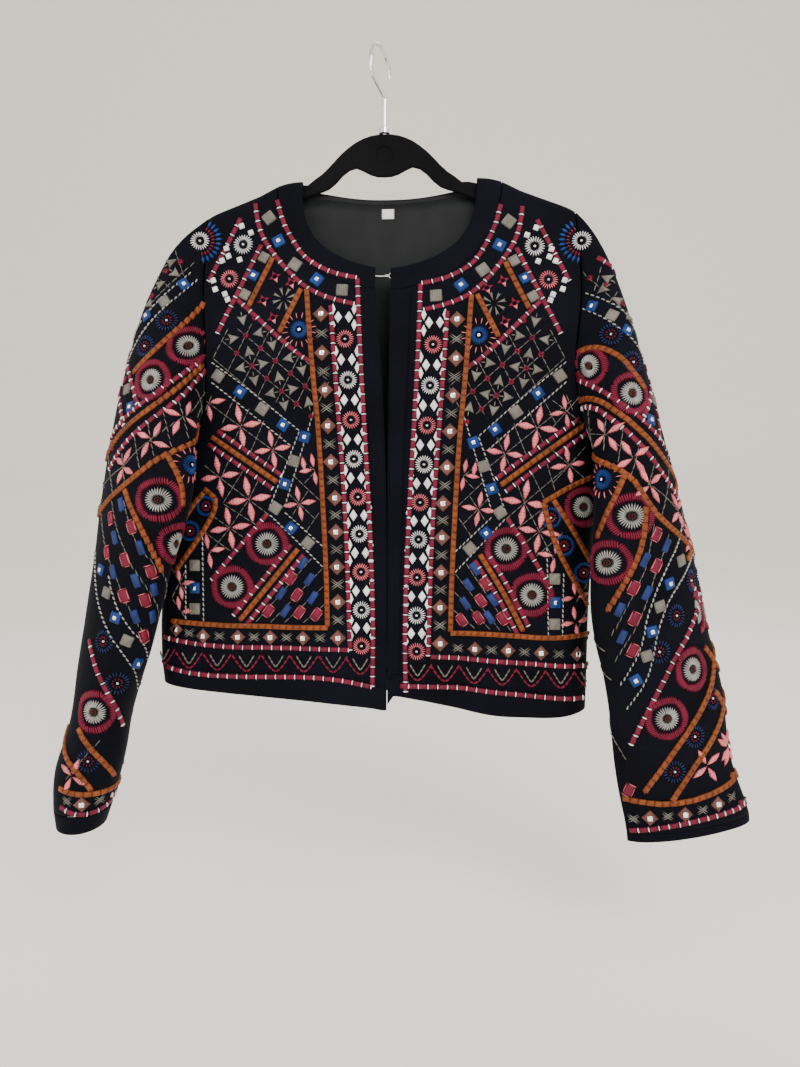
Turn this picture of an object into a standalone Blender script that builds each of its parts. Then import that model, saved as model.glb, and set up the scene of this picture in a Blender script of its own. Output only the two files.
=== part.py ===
"""An embroidered collarless jacket that hangs on a flat hanger with a wire hook.

Sizes are in millimetres and become metres when a mesh is made. +X is to the
right as seen from the front, +Y goes to the back and +Z is up. The origin is the
inside of the hook's top, where a rail or a wall hook would carry the hanger.
Left and right are the viewer's, so the front_left piece has the side LEFT.
"""

from collections.abc import Callable
from dataclasses import dataclass
from math import cos, pi, radians, sin, sqrt

import bmesh
import bpy
from mathutils import Vector

MM = 0.001
LEFT = -1
RIGHT = 1

# Driving sizes of the cloth.
WALL = 2.4
LINING_WALL = 1.2
LINING_GAP = 1.0
LINING_BELOW_NECK = 5.0
LINING_SHOULDER_DROP = 30.0
LINING_ABOVE_HEM = 6.0
LINING_HALF_WIDTH = 150.0
LABEL_WALL = 0.6
LABEL_WIDTH = 11.5
LABEL_HEIGHT = 9.0
LABEL_TOP = -146.0
LABEL_ACROSS = -1.5
SEAM_GAP = 0.3
SEAM_HALF_DEPTH = 0.42
CENTRE_X = 8.0
HEM_Z = -608.0
FRONT_DEPTH = 24.0
BACK_DEPTH = 15.0
SHOULDER_DEPTH = 8.0
SHOULDER_ROUND = 8.0
SIDE_ROUND = 30.0
DEPTH_GROWS_OVER = 170.0
NECK_BAND_WIDTH = 22.0
NECK_GAP_AT_SHOULDER = 0.7
HEM_BAND_HEIGHT = 21.0
CUFF_BAND_HEIGHT = 16.0

# Driving sizes of the hanger.
HANGER_X = 3.5
HANGER_THICK = 5.0
HANGER_EDGE = 1.4
HANGER_SEAT_GAP = 0.8
HANGER_CLOTH_FROM = 70.0
HANGER_SEAT_FROM = 112.0
HANGER_SEAT_TO = 158.0
HANGER_STATIONS = 26
ROUNDEL_RADIUS = 8.5
ROUNDEL_DEEP = 0.8
ROUNDEL_Z = -98.0
WIRE = 3.6
LOOP_RADIUS = 22.0
LOOP_TURN = radians(70.0)
LOOP_START = radians(205.0)
LOOP_END = radians(8.0)
LOOP_PARTS = 19
STEM_TOP = -46.0
STEM_PULL = 14.0
BEND_PULL = 22.0
BEND_PARTS = 6
COLLAR_RADIUS = 5.4
COLLAR_TOP = -72.0
COLLAR_BOTTOM = -80.5
COLLAR_FOOT = 2.4

# Height of the shoulder's top, by distance from the garment's centre.
SHOULDER = (
    # out, z
    (0.0, -120.5),
    (70.0, -120.5),
    (84.0, -120.5),
    (98.0, -121.5),
    (108.0, -126.0),
    (122.0, -133.0),
    (145.0, -141.5),
    (163.0, -148.0),
    (171.0, -152.5),
    (182.0, -159.0),
)

# Half width of the body at the side seam and at the armhole, by height.
OUTER_EDGE = (
    # z, left, right, turn of the side corner in degrees
    (-608.0, 221.0, 187.0, 90.0),
    (-580.0, 224.0, 188.0, 90.0),
    (-520.0, 222.0, 189.0, 90.0),
    (-460.0, 214.0, 192.0, 90.0),
    (-420.0, 207.0, 196.0, 90.0),
    (-392.0, 203.0, 199.0, 90.0),
    (-376.0, 191.0, 190.0, 70.0),
    (-352.0, 177.0, 179.0, 42.0),
    (-320.0, 170.0, 172.0, 16.0),
    (-286.0, 170.0, 171.0, 6.0),
    (-232.0, 174.0, 177.0, 4.0),
    (-190.0, 173.0, 175.0, 4.0),
    (-160.0, 171.0, 172.0, 4.0),
)
UNDERARM_Z = -392.0
ARMHOLE_TOP_Z = -160.0
UNDERARM_TWIST = radians(66.0)
UNDERARM_ROUND = 12.0
ARMHOLE_GAP = 1.2
ARMHOLE_GAP_AT_TOP = 1.8

# How far the hem hangs below (-) or above (+) its level, across the front and the back.
FRONT_HEM = (
    # across, drop
    (-224.0, 11.0),
    (-180.0, 6.5),
    (-120.0, 1.0),
    (-60.0, -4.0),
    (-14.0, -8.5),
    (-1.0, -10.0),
    (0.0, 3.0),
    (40.0, -2.0),
    (68.0, -8.5),
    (100.0, -14.0),
    (160.0, -15.0),
    (187.0, -10.0),
)
BACK_HEM = (
    # across, drop
    (-224.0, 11.0),
    (-150.0, 3.0),
    (0.0, -1.0),
    (140.0, -6.0),
    (187.0, -10.0),
)

# Centre front edge of each front, by height, as places across from the centre.
FRONT_EDGE = (
    # z, left edge, right edge, plain band width
    (-620.0, -1.6, -0.6, 11.5),
    (-520.0, -1.2, -0.4, 12.0),
    (-420.0, -1.4, -0.4, 14.0),
    (-350.0, -3.6, 0.2, 16.0),
    (-280.0, -7.6, 1.2, 18.0),
    (-212.0, -12.0, 2.3, 19.0),
)

# Neck edge of the front, from the centre corner to the shoulder's round.
NECK = (
    # out, z at the free edge, out, z at the seam with the front
    (0.0, -206.5, 0.0, -227.0),
    (12.0, -205.5, 12.0, -226.0),
    (29.0, -201.5, 33.0, -222.0),
    (44.0, -195.5, 51.0, -215.0),
    (58.0, -187.0, 69.0, -205.0),
    (69.0, -176.5, 84.0, -190.0),
    (76.5, -163.5, 95.0, -173.0),
    (80.5, -147.0, 101.5, -152.0),
    (82.0, -126.5, 104.5, -129.5),
)

# Neck edge of the back, from the centre to the shoulder's round.
BACK_NECK = (
    # out, z at the free edge, out, z at the seam with the back
    (0.0, -136.5, 0.0, -159.0),
    (22.0, -136.0, 26.0, -158.5),
    (42.0, -133.5, 50.0, -155.5),
    (60.0, -130.0, 72.0, -149.5),
    (74.0, -127.5, 92.0, -140.0),
    (82.0, -126.0, 104.5, -130.0),
)

# Soft upright folds of the body, pushed out (+) or in (-) of its face.
FOLDS = (
    # front (1) or back (0), place across, top z, bottom z, half width, height
    (1, -150.0, -330.0, -640.0, 26.0, 3.0),
    (1, -95.0, -300.0, -560.0, 30.0, -2.4),
    (1, -52.0, -420.0, -660.0, 20.0, 1.8),
    (1, 134.0, -330.0, -500.0, 11.0, -5.0),
    (1, 152.0, -330.0, -540.0, 15.0, 4.5),
    (1, 70.0, -480.0, -680.0, 15.0, -4.5),
    (1, 95.0, -430.0, -680.0, 22.0, 3.2),
    (0, -120.0, -300.0, -660.0, 30.0, 3.0),
    (0, -60.0, -340.0, -660.0, 26.0, -2.6),
    (0, -4.0, -300.0, -660.0, 28.0, 2.4),
    (0, 66.0, -330.0, -660.0, 26.0, -2.8),
    (0, 126.0, -300.0, -660.0, 28.0, 3.2),
)

FOLD_START = 70.0
FOLD_END = 60.0

# Rings of the sleeves, from the upper arm to the cuff's edge. The inner and outer folds
# are distances from the garment's centre; lean and slope are how far the ring goes
# back and rises for each millimetre further out.
SLEEVE_LEFT = (
    # z, inner fold, outer fold, y of the middle, half depth, lean, slope
    (-440.0, 177.0, 276.0, -40.0, 37.0, 0.46, -0.06),
    (-475.0, 191.0, 281.0, -37.0, 36.0, 0.44, -0.10),
    (-515.0, 203.0, 287.0, -35.0, 35.0, 0.40, -0.12),
    (-560.0, 216.0, 295.0, -34.0, 35.0, 0.36, -0.16),
    (-600.0, 231.0, 298.0, -34.0, 36.0, 0.30, -0.20),
    (-630.0, 241.0, 302.0, -35.0, 36.0, 0.26, -0.22),
    (-656.0, 243.0, 313.0, -37.0, 35.0, 0.24, -0.22),
    (-688.0, 251.0, 317.0, -40.0, 33.0, 0.22, -0.12),
    (-722.0, 264.0, 309.0, -44.0, 31.0, 0.20, 0.02),
)
SLEEVE_RIGHT = (
    # z, inner fold, outer fold, y of the middle, half depth, lean, slope
    (-440.0, 185.0, 270.0, -42.0, 39.0, 0.42, -0.04),
    (-475.0, 185.0, 280.0, -40.0, 36.0, 0.38, 0.00),
    (-515.0, 183.0, 287.0, -38.0, 32.0, 0.32, 0.04),
    (-560.0, 190.0, 298.0, -36.0, 28.0, 0.26, 0.08),
    (-600.0, 199.0, 308.0, -35.0, 25.0, 0.20, 0.10),
    (-640.0, 203.0, 311.0, -34.0, 22.0, 0.16, 0.12),
    (-675.0, 209.0, 318.0, -33.0, 20.0, 0.14, 0.13),
    (-704.0, 216.0, 330.0, -33.0, 19.0, 0.12, 0.14),
    (-721.0, 218.0, 333.0, -33.0, 19.5, 0.12, 0.14),
)

# Pull of the sleeve head's cloth, leaving the armhole and arriving at the upper arm.
SLEEVE_HEAD = (
    # angle in degrees, out on the left, out on the right, forward, down, arriving down
    (0.0, 40.0, 34.0, 10.0, 10.0, 60.0),
    (45.0, -14.0, 6.0, 78.0, 26.0, 110.0),
    (90.0, 70.0, 50.0, 66.0, 40.0, 180.0),
    (135.0, 150.0, 95.0, 50.0, 52.0, 260.0),
    (180.0, 190.0, 118.0, 0.0, 64.0, 320.0),
    (225.0, 140.0, 90.0, -30.0, 60.0, 250.0),
    (270.0, 70.0, 55.0, -18.0, 50.0, 180.0),
    (315.0, 58.0, 50.0, -8.0, 16.0, 95.0),
    (360.0, 40.0, 34.0, 10.0, 10.0, 60.0),
)

# The hanger's outline, by distance from its centre.
HANGER = (
    # out, top z, under z
    (0.0, -78.5, -117.5),
    (10.0, -79.0, -116.5),
    (19.5, -81.7, -111.8),
    (28.0, -86.0, -108.8),
    (38.0, -93.2, -114.0),
    (46.0, -101.0, -122.5),
    (54.0, -109.5, -128.5),
    (63.5, -117.4, -131.5),
    (76.0, -122.3, -136.0),
    (92.0, -127.2, -142.5),
    (112.0, -133.5, -150.0),
    (134.0, -140.5, -157.5),
    (150.0, -146.0, -163.5),
    (160.0, -153.0, -168.5),
    (167.0, -159.0, -171.0),
    (171.0, -164.0, -169.5),
)

# The fastening's wires, across from the centre, back from the fronts' inner face, and up.
FASTENING_Z = -212.5
FASTENING_WIRE = 1.2
FASTENING_HOOK = (
    # across, back, up
    (-18.5, 0.0, -1.9),
    (-20.2, 0.0, 0.0),
    (-18.5, 0.0, 1.9),
    (-16.4, 0.1, 0.9),
    (-13.0, 0.6, 0.0),
    (-8.0, 2.2, 0.0),
    (0.6, 2.6, 0.0),
    (1.9, 2.1, 0.0),
    (2.4, 1.1, 0.0),
    (1.9, 0.1, 0.0),
    (0.6, -0.4, 0.0),
    (-3.4, -0.4, 0.0),
)
FASTENING_EYE = (
    # across, back, up
    (13.0, 0.7, 3.6),
    (11.0, 0.6, 2.6),
    (6.0, 0.5, 2.4),
    (2.2, 1.0, 2.2),
    (0.9, 1.1, 1.4),
    (0.6, 1.1, 0.0),
    (0.9, 1.1, -1.4),
    (2.2, 1.0, -2.2),
    (6.0, 0.5, -2.4),
    (11.0, 0.6, -2.6),
    (13.0, 0.7, -3.6),
)

# How finely each surface is divided. The rounds are cut at these parts of their turn,
# closest at the seam, so that the walls on its two sides meet squarely.
FLAT_COLUMNS = 8
CORNER_PARTS = (0.0, 0.3, 0.55, 0.76, 0.91, 0.975, 1.0)
ROUND_PARTS = (0.4, 0.7, 0.92, 0.98, 1.0)
LOWER_ROWS = 7
ARM_ROWS = 12
STRAIGHT_ROWS = 11
BACK_NECK_ROWS = 6
RING_POINTS = 24
HEAD_ROWS = 7
SLEEVE_ROWS = 10
LINING_ROWS = 10
LINING_COLUMNS = 6


@dataclass(frozen=True)
class Finish:
    """The plain colour of a piece, with its roughness and metallic value."""

    name: str
    colour: tuple[float, float, float]
    roughness: float
    metallic: float = 0.0


VELVET = Finish("velvet", (0.012, 0.014, 0.028), 0.9)
LINING = Finish("lining", (0.03, 0.033, 0.038), 0.6)
LABEL = Finish("label", (0.75, 0.75, 0.73), 0.7)
HANGER_FLOCK = Finish("hanger_flock", (0.008, 0.008, 0.009), 0.95)
STEEL = Finish("steel", (0.62, 0.62, 0.62), 0.28, 1.0)

Point = tuple[float, float, float]
Grid = list[list[Point]]


def smooth(value: float) -> float:
    """A soft step from 0 to 1."""
    value = min(1.0, max(0.0, value))
    return value * value * (3.0 - 2.0 * value)


def look_up(table: tuple, key: float, column: int) -> float:
    """Read a column of a table at a key, along a smooth curve through its rows."""
    keys = [row[0] for row in table]
    rising = keys[-1] > keys[0]
    if (key <= keys[0]) == rising:
        return table[0][column]
    if (key >= keys[-1]) == rising:
        return table[-1][column]
    last = len(keys) - 1
    at = next(i for i in range(last) if (key <= keys[i + 1]) == rising)
    part = (key - keys[at]) / (keys[at + 1] - keys[at])
    return blend_rows(table, at, part, column)


def blend_rows(table: tuple, at: int, part: float, column: int) -> float:
    """Blend a column between row at and the next one, with the slopes of its neighbours."""
    last = len(table) - 1
    before = table[max(at - 1, 0)][column]
    start = table[at][column]
    end = table[at + 1][column]
    after = table[min(at + 2, last)][column]
    slope_start = (end - before) / 2.0
    slope_end = (after - start) / 2.0
    square = part * part
    cube = square * part
    return (
        (2.0 * cube - 3.0 * square + 1.0) * start
        + (cube - 2.0 * square + part) * slope_start
        + (3.0 * square - 2.0 * cube) * end
        + (cube - square) * slope_end
    )


def along(table: tuple, part: float, column: int) -> float:
    """Read a column at a part, 0 to 1, of the way through a table's rows."""
    place = min(max(part, 0.0), 1.0) * (len(table) - 1)
    at = min(int(place), len(table) - 2)
    return blend_rows(table, at, place - at, column)


def shoulder_top(out: float) -> float:
    """Height of the shoulder's top at a distance from the centre."""
    return look_up(SHOULDER, abs(out), 1)


def outer_edge(side: int, z: float) -> float:
    """Distance from the centre of the side seam or armhole at a height."""
    return look_up(OUTER_EDGE, z, 1 if side == LEFT else 2)


def corner_turn(z: float) -> float:
    """How far the body's side corner has turned at a height, in radians."""
    return radians(look_up(OUTER_EDGE, z, 3))


def side_round(side: int, out: float, z: float) -> float:
    """Share of the depth that is left where the side rounds away."""
    start = outer_edge(side, z) - SIDE_ROUND * sin(corner_turn(z))
    if out <= start:
        return 1.0
    return sqrt(max(0.0, 1.0 - ((out - start) / SIDE_ROUND) ** 2))


def shoulder_round(out: float, z: float) -> float:
    """Share of the depth that is left where the shoulder rounds over."""
    drop = shoulder_top(out) - z
    if drop >= SHOULDER_ROUND:
        return 1.0
    return sqrt(max(0.0, 1.0 - (1.0 - max(drop, 0.0) / SHOULDER_ROUND) ** 2))


def fold_height(front: int, across: float, z: float) -> float:
    """How far the soft folds push the face out at a place."""
    total = 0.0
    for on_front, place, top, bottom, half_width, height in FOLDS:
        if on_front == front and bottom < z < top and abs(across - place) < 2 * half_width:
            ends = smooth((top - z) / FOLD_START) * smooth((z - bottom) / FOLD_END)
            shape = 0.5 * (1.0 + cos(pi * (across - place) / (2 * half_width)))
            total += height * ends * shape * shape
    return total


def body_depth(front: int, across: float, z: float) -> float:
    """Distance of the body's outer face from the hanger's plane."""
    side = LEFT if across < 0 else RIGHT
    full = FRONT_DEPTH if front else BACK_DEPTH
    out = abs(across)
    grown = smooth((shoulder_top(out) - z) / DEPTH_GROWS_OVER)
    depth = SHOULDER_DEPTH + (full - SHOULDER_DEPTH) * grown
    depth += fold_height(front, across, z)
    return depth * side_round(side, out, z) * shoulder_round(out, z)


def hung(front: int, across: float, z: float) -> float:
    """A height moved down or up as the uneven hem pulls it, nothing above the underarm."""
    share = max(0.0, (UNDERARM_Z - z) / (UNDERARM_Z - HEM_Z))
    return z + look_up(FRONT_HEM if front else BACK_HEM, across, 1) * share


def body_point(front: int, across: float, z: float) -> Point:
    """The point of the body's outer face at a place seen from the front."""
    depth = max(body_depth(front, across, z), SEAM_HALF_DEPTH)
    return (CENTRE_X + across, -depth if front else depth, hung(front, across, z))


def across_row(start: tuple[float, float], end: tuple[float, float]) -> list:
    """Places (out, z) from the inner to the outer end of a row, closer where the side rounds."""
    turned = (corner_turn(end[1]) / (pi / 2)) ** 3
    width = end[0] - start[0]
    corner = SIDE_ROUND / width
    parts = [(1.0 - corner) * i / FLAT_COLUMNS for i in range(FLAT_COLUMNS)]
    for part in CORNER_PARTS:
        rounded = 1.0 - sin(part * pi / 2)
        even = 1.0 - part
        parts.append(1.0 - corner * (turned * rounded + (1.0 - turned) * even))
    return [(start[0] + width * part, start[1] + (end[1] - start[1]) * part) for part in parts]


def front_edge(side: int, z: float) -> float:
    """Place across of a front's free edge at a height."""
    return look_up(FRONT_EDGE, z, 1 if side == LEFT else 2)


def band_inner(side: int, z: float, step: float) -> float:
    """Place across of a line that lies step of the plain front band's width from the edge."""
    return front_edge(side, z) + side * step * look_up(FRONT_EDGE, z, 3)


def part_at(table: tuple, value: float, column: int) -> float:
    """The part of the way through a table at which a rising column reaches a value."""
    low, high = 0.0, 1.0
    for _ in range(30):
        middle = (low + high) / 2.0
        if along(table, middle, column) < value:
            low = middle
        else:
            high = middle
    return low


def neck_line(table: tuple, part: float, step: float) -> tuple[float, float]:
    """The place (out, z) in the neck band: part runs along it, step goes out from its free edge."""
    inner = (along(table, part, 0), along(table, part, 1))
    seam = (along(table, part, 2), along(table, part, 3))
    return tuple(inner[i] + (seam[i] - inner[i]) * step for i in (0, 1))


def seam_step(part: float) -> float:
    """A step of 1 and the seam's gap more, wider where the neck band climbs the shoulder."""
    return 1.0 + (SEAM_GAP + NECK_GAP_AT_SHOULDER * smooth(part * 4.0 - 3.0)) / NECK_BAND_WIDTH


def hem_top() -> float:
    """Height of the seam between the panels and the hem band."""
    return HEM_Z + HEM_BAND_HEIGHT


def outer_places(side: int) -> list[tuple[float, float]]:
    """Places (out, z) up the side seam and the armhole to the shoulder's round."""
    places = []
    low = hem_top() + SEAM_GAP
    for i in range(LOWER_ROWS):
        z = low + (UNDERARM_Z - low) * i / LOWER_ROWS
        places.append((outer_edge(side, z), z))
    top_out = outer_edge(side, ARMHOLE_TOP_Z)
    top = shoulder_top(top_out) - SHOULDER_ROUND
    for i in range(ARM_ROWS + 1):
        z = UNDERARM_Z + (top - UNDERARM_Z) * spread_even(i / ARM_ROWS)
        places.append((outer_edge(side, z), z))
    return places


def spread_even(part: float) -> float:
    """A part that starts slowly, so rows lie closer above the underarm."""
    return part**1.25


def over_shoulder(row: list[tuple[float, float]]) -> list:
    """The rows that carry a last row over the shoulder's round, the last row among them."""
    return [
        [(out, shoulder_top(out) - SHOULDER_ROUND * (1.0 - sin(part * pi / 2))) for out, _ in row]
        for part in (0.0, *ROUND_PARTS)
    ]


def panel_rows(outer: list, inner: list) -> list:
    """Rows of places between two edges of the same number of places, and over the shoulder."""
    rows = [across_row(inner[i], outer[i]) for i in range(len(outer))]
    return rows[:-1] + over_shoulder(rows[-1])


def straight_heights() -> list[float]:
    """Heights of the rows that a front shares with its plain band, below the neck band."""
    low = hem_top() + SEAM_GAP
    top = NECK[0][3]
    return [low + (top - low) * i / STRAIGHT_ROWS for i in range(STRAIGHT_ROWS)]


def band_top(side: int, step: float) -> tuple[float, float]:
    """The place (out, z) under the neck band's seam, at a step across the plain front band."""
    out = side * band_inner(side, NECK[1][3], step)
    part = part_at(NECK, out, 2)
    return (out, along(NECK, part, 3) - SEAM_GAP)


def neck_parts(side: int) -> list[float]:
    """Parts along the neck band of the rows that a front ends on."""
    start = part_at(NECK, band_top(side, 1.0)[0] + SEAM_GAP, 2)
    count = LOWER_ROWS + ARM_ROWS - STRAIGHT_ROWS
    return [start + (1.0 - start) * i / count for i in range(count + 1)]


def front_rows(side: int) -> list:
    """Rows of places (out, z) of a front, from its hem seam to the shoulder."""
    places = [(side * band_inner(side, z, 1.0) + SEAM_GAP, z) for z in straight_heights()]
    places += [neck_line(NECK, part, seam_step(part)) for part in neck_parts(side)]
    return panel_rows(outer_places(side), places)


def back_rows(side: int) -> list:
    """Rows of places (out, z) of half the back, from its hem seam to the shoulder."""
    outer = outer_places(side)
    straight = len(outer) - BACK_NECK_ROWS
    low = hem_top() + SEAM_GAP
    top = BACK_NECK[0][3]
    places = [(0.0, low + (top - low) * i / straight) for i in range(straight)]
    places += [neck_line(BACK_NECK, part, seam_step(part)) for part in back_neck_parts()]
    return panel_rows(outer, places)


def back_neck_parts() -> list[float]:
    """Parts along the neck band of the rows that the back ends on."""
    return [i / (BACK_NECK_ROWS - 1) for i in range(BACK_NECK_ROWS)]


def to_grid(rows: list, front: int, side: int) -> Grid:
    """Turn rows of places into rows of points on the body's outer face."""
    return [[body_point(front, side * out, z) for out, z in row] for row in rows]


def section(z: float) -> list[Point]:
    """The body's whole section at a height, from the left front edge round to the right one."""
    points = []
    for side in (LEFT, RIGHT):
        wide = outer_edge(side, z)
        outs = [side * band_inner(side, z, step) for step in (0.0, 0.5)]
        outs += [out for out, _ in across_row((side * band_inner(side, z, 1.0), z), (wide, z))]
        front = [body_point(1, side * out, z) for out in outs[:-1]]
        back = [body_point(0, side * out, z) for out, _ in across_row((0.0, z), (wide, z))[1:-1]]
        turn = (CENTRE_X + side * wide, 0.0, hung(1, side * wide, z))
        half = front + [turn] + back[::-1]
        points += half if side == LEFT else [body_point(0, 0.0, z)] + half[::-1]
    return points


def add_grid(mesh: bmesh.types.BMesh, grid: Grid, closed: bool = False) -> None:
    """Add a grid of points to a mesh as quads, joined round where it is closed."""
    rows = [[mesh.verts.new(Vector(p) * MM) for p in row] for row in grid]
    for low, high in zip(rows, rows[1:]):
        count = len(low)
        for i in range(count if closed else count - 1):
            j = (i + 1) % count
            mesh.faces.new((low[i], low[j], high[j], high[i]))


def add_object(name: str, mesh: bmesh.types.BMesh, finish: Finish) -> bpy.types.Object:
    """Make a named object of a mesh, with its own material, in the jacket's collection."""
    data = bpy.data.meshes.new(name)
    mesh.to_mesh(data)
    mesh.free()
    obj = bpy.data.objects.new(name, data)
    bpy.data.collections["embroidered_jacket"].objects.link(obj)
    dress(obj, finish)
    return obj


def dress(obj: bpy.types.Object, finish: Finish) -> None:
    """Give an object its plain material, made once for each finish."""
    material = bpy.data.materials.get(finish.name)
    if material is None:
        material = bpy.data.materials.new(finish.name)
        material.use_nodes = True
        shader = material.node_tree.nodes["Principled BSDF"]
        shader.inputs["Base Color"].default_value = (*finish.colour, 1.0)
        shader.inputs["Roughness"].default_value = finish.roughness
        shader.inputs["Metallic"].default_value = finish.metallic
    obj.data.materials.append(material)


def add_cloth(
    name: str,
    grids: list[Grid],
    outward: Callable[[Vector], Vector],
    finish: Finish = VELVET,
    wall: float = WALL,
    closed: bool = False,
) -> bpy.types.Object:
    """Make one piece of cloth: an open sheet on its outer face, thickened inwards.

    Args:
        name: the piece's name.
        grids: grids of points, welded where they meet.
        outward: the way out of the cloth near a point, to turn the faces by.
        finish: the plain material.
        wall: the cloth's thickness in millimetres.
        closed: whether each row of a grid runs all the way round.
    """
    mesh = bmesh.new()
    for grid in grids:
        add_grid(mesh, grid, closed)
    bmesh.ops.remove_doubles(mesh, verts=mesh.verts, dist=0.02 * MM)
    bmesh.ops.recalc_face_normals(mesh, faces=mesh.faces)
    mesh.normal_update()
    agree = sum(f.normal.dot(outward(f.calc_center_median() / MM)) * f.calc_area() for f in mesh.faces)
    if agree < 0:
        bmesh.ops.reverse_faces(mesh, faces=mesh.faces)
    obj = add_object(name, mesh, finish)
    obj.data.shade_smooth()
    thick = obj.modifiers.new("wall", "SOLIDIFY")
    thick.thickness = wall * MM
    thick.offset = -1.0
    return obj


def outward_from_hanger(place: Vector) -> Vector:
    """The way out of the body near a point: to the front or the back."""
    return Vector((0.0, -1.0 if place.y < 0 else 1.0, 0.0))


def build_fronts() -> None:
    """Make the two fronts and their plain centre bands."""
    for side, word in ((LEFT, "left"), (RIGHT, "right")):
        rows = front_rows(side)
        add_cloth(f"front_{word}", [to_grid(rows, 1, side)], outward_from_hanger)
        steps = (0.0, 0.5, 1.0)
        band = [
            [body_point(1, band_inner(side, z, step), z) for step in steps]
            for z in straight_heights()
        ]
        tops = [band_top(side, step) for step in steps]
        band.append([body_point(1, side * out, z) for out, z in tops])
        add_cloth(f"front_band_{word}", [band], outward_from_hanger)


def build_back() -> None:
    """Make the back and the stretch of lining that lies on its inside."""
    halves = [to_grid(back_rows(side), 0, side) for side in (LEFT, RIGHT)]
    add_cloth("back", halves, outward_from_hanger)
    build_back_lining()
    build_label()


def lining_place(across: float, z: float, inset: float) -> Point:
    """A point at a depth inside the back's outer face."""
    return (CENTRE_X + across, body_depth(0, across, z) - inset, hung(0, across, z))


def lining_top(out: float) -> float:
    """Height of the lining's upper edge, below the neck edge and clear of the hanger's arms."""
    neck = look_up(BACK_NECK, min(out, BACK_NECK[-1][0]), 1) - LINING_BELOW_NECK
    return neck - LINING_SHOULDER_DROP * smooth((out - 66.0) / 60.0)


def build_back_lining() -> None:
    """Make the lining of the back, just inside it."""
    low = hem_top() + LINING_ABOVE_HEM
    grids = []
    for side in (LEFT, RIGHT):
        grid = []
        for step in range(LINING_ROWS + 1):
            row = []
            for column in range(LINING_COLUMNS + 1):
                out = LINING_HALF_WIDTH * column / LINING_COLUMNS
                z = low + (lining_top(out) - low) * step / LINING_ROWS
                row.append(lining_place(side * out, z, WALL + LINING_GAP))
            grid.append(row)
        grids.append(grid)
    add_cloth("back_lining", grids, lambda place: Vector((0, 1, 0)), LINING, LINING_WALL)


def build_label() -> None:
    """Make the blank label that lies on the lining below the back neck."""
    inset = WALL + LINING_GAP + LINING_WALL + SEAM_GAP
    grid = []
    for step in range(3):
        z = LABEL_TOP - LABEL_HEIGHT + LABEL_HEIGHT * step / 2
        places = [LABEL_ACROSS + LABEL_WIDTH * (column / 2 - 0.5) for column in range(3)]
        grid.append([lining_place(across, z, inset) for across in places])
    add_cloth("label", [grid], lambda place: Vector((0, 1, 0)), LABEL, LABEL_WALL)


def build_neck_band() -> None:
    """Make the neck band: one strip from centre front, round the back neck, to centre front."""
    steps = (0.0, 0.5, 1.0)
    halves = {}
    for side in (LEFT, RIGHT):
        first = part_at(NECK, side * front_edge(side, NECK[1][1]), 0)
        parts = neck_parts(side)
        parts = [first, (first + parts[0]) / 2.0] + parts
        rows = [[neck_line(NECK, part, step) for step in steps] for part in parts]
        front = to_grid(rows[:-1] + over_shoulder(rows[-1]), 1, side)
        behind = [[neck_line(BACK_NECK, part, step) for step in steps] for part in back_neck_parts()]
        back = to_grid(behind[:-1] + over_shoulder(behind[-1])[:-1], 0, side)
        ridge = [(x, 0.0, z) for x, _, z in front[-1]]
        halves[side] = front[:-1] + [ridge] + back[::-1]
    whole = halves[LEFT] + halves[RIGHT][::-1][1:]
    add_cloth("neck_band", [whole], outward_from_hanger)


def build_hem_band() -> None:
    """Make the hem band: one strip round the body below the panels."""
    heights = [HEM_Z + HEM_BAND_HEIGHT * i / 2 for i in range(3)]
    add_cloth("hem_band", [[section(z) for z in heights]], outward_from_hanger)


def armhole_point(side: int, angle: float) -> Point:
    """A point of the armhole: angle 0 is the underarm, pi / 2 the front and pi the shoulder."""
    front = angle <= pi
    part = angle / pi if front else (2.0 * pi - angle) / pi
    top_out = outer_edge(side, ARMHOLE_TOP_Z)
    top = shoulder_top(top_out)
    z = UNDERARM_Z + (top - UNDERARM_Z) * (1.0 - cos(part * pi)) / 2.0
    x, y, z = body_point(1 if front else 0, side * outer_edge(side, z), z)
    gap = ARMHOLE_GAP + (ARMHOLE_GAP_AT_TOP - ARMHOLE_GAP) * part
    rounded = min(UNDERARM_ROUND, 2.0 * UNDERARM_ROUND * sin(part * pi))
    if part < 0.5 and abs(y) < rounded:
        y = -rounded if front else rounded
    return (x + side * gap, y, z)


def ring_point(side: int, table: tuple, part: float, angle: float) -> Point:
    """A point of the sleeve below its head: part runs down it, angle goes round."""
    z = along(table, part, 0)
    inner = along(table, part, 1)
    outer = along(table, part, 2)
    half_depth = along(table, part, 4)
    reach = -(outer - inner) / 2.0 * cos(angle)
    out = (inner + outer) / 2.0 + reach
    y = along(table, part, 3) + along(table, part, 5) * reach - half_depth * sin(angle)
    return (CENTRE_X + side * out, y, z + along(table, part, 6) * reach)


def ring_angle(angle: float) -> float:
    """The angle on the rings below an angle of the armhole: the underarm turns to the back."""
    return angle - UNDERARM_TWIST * (1.0 + cos(angle)) / 2.0


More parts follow.
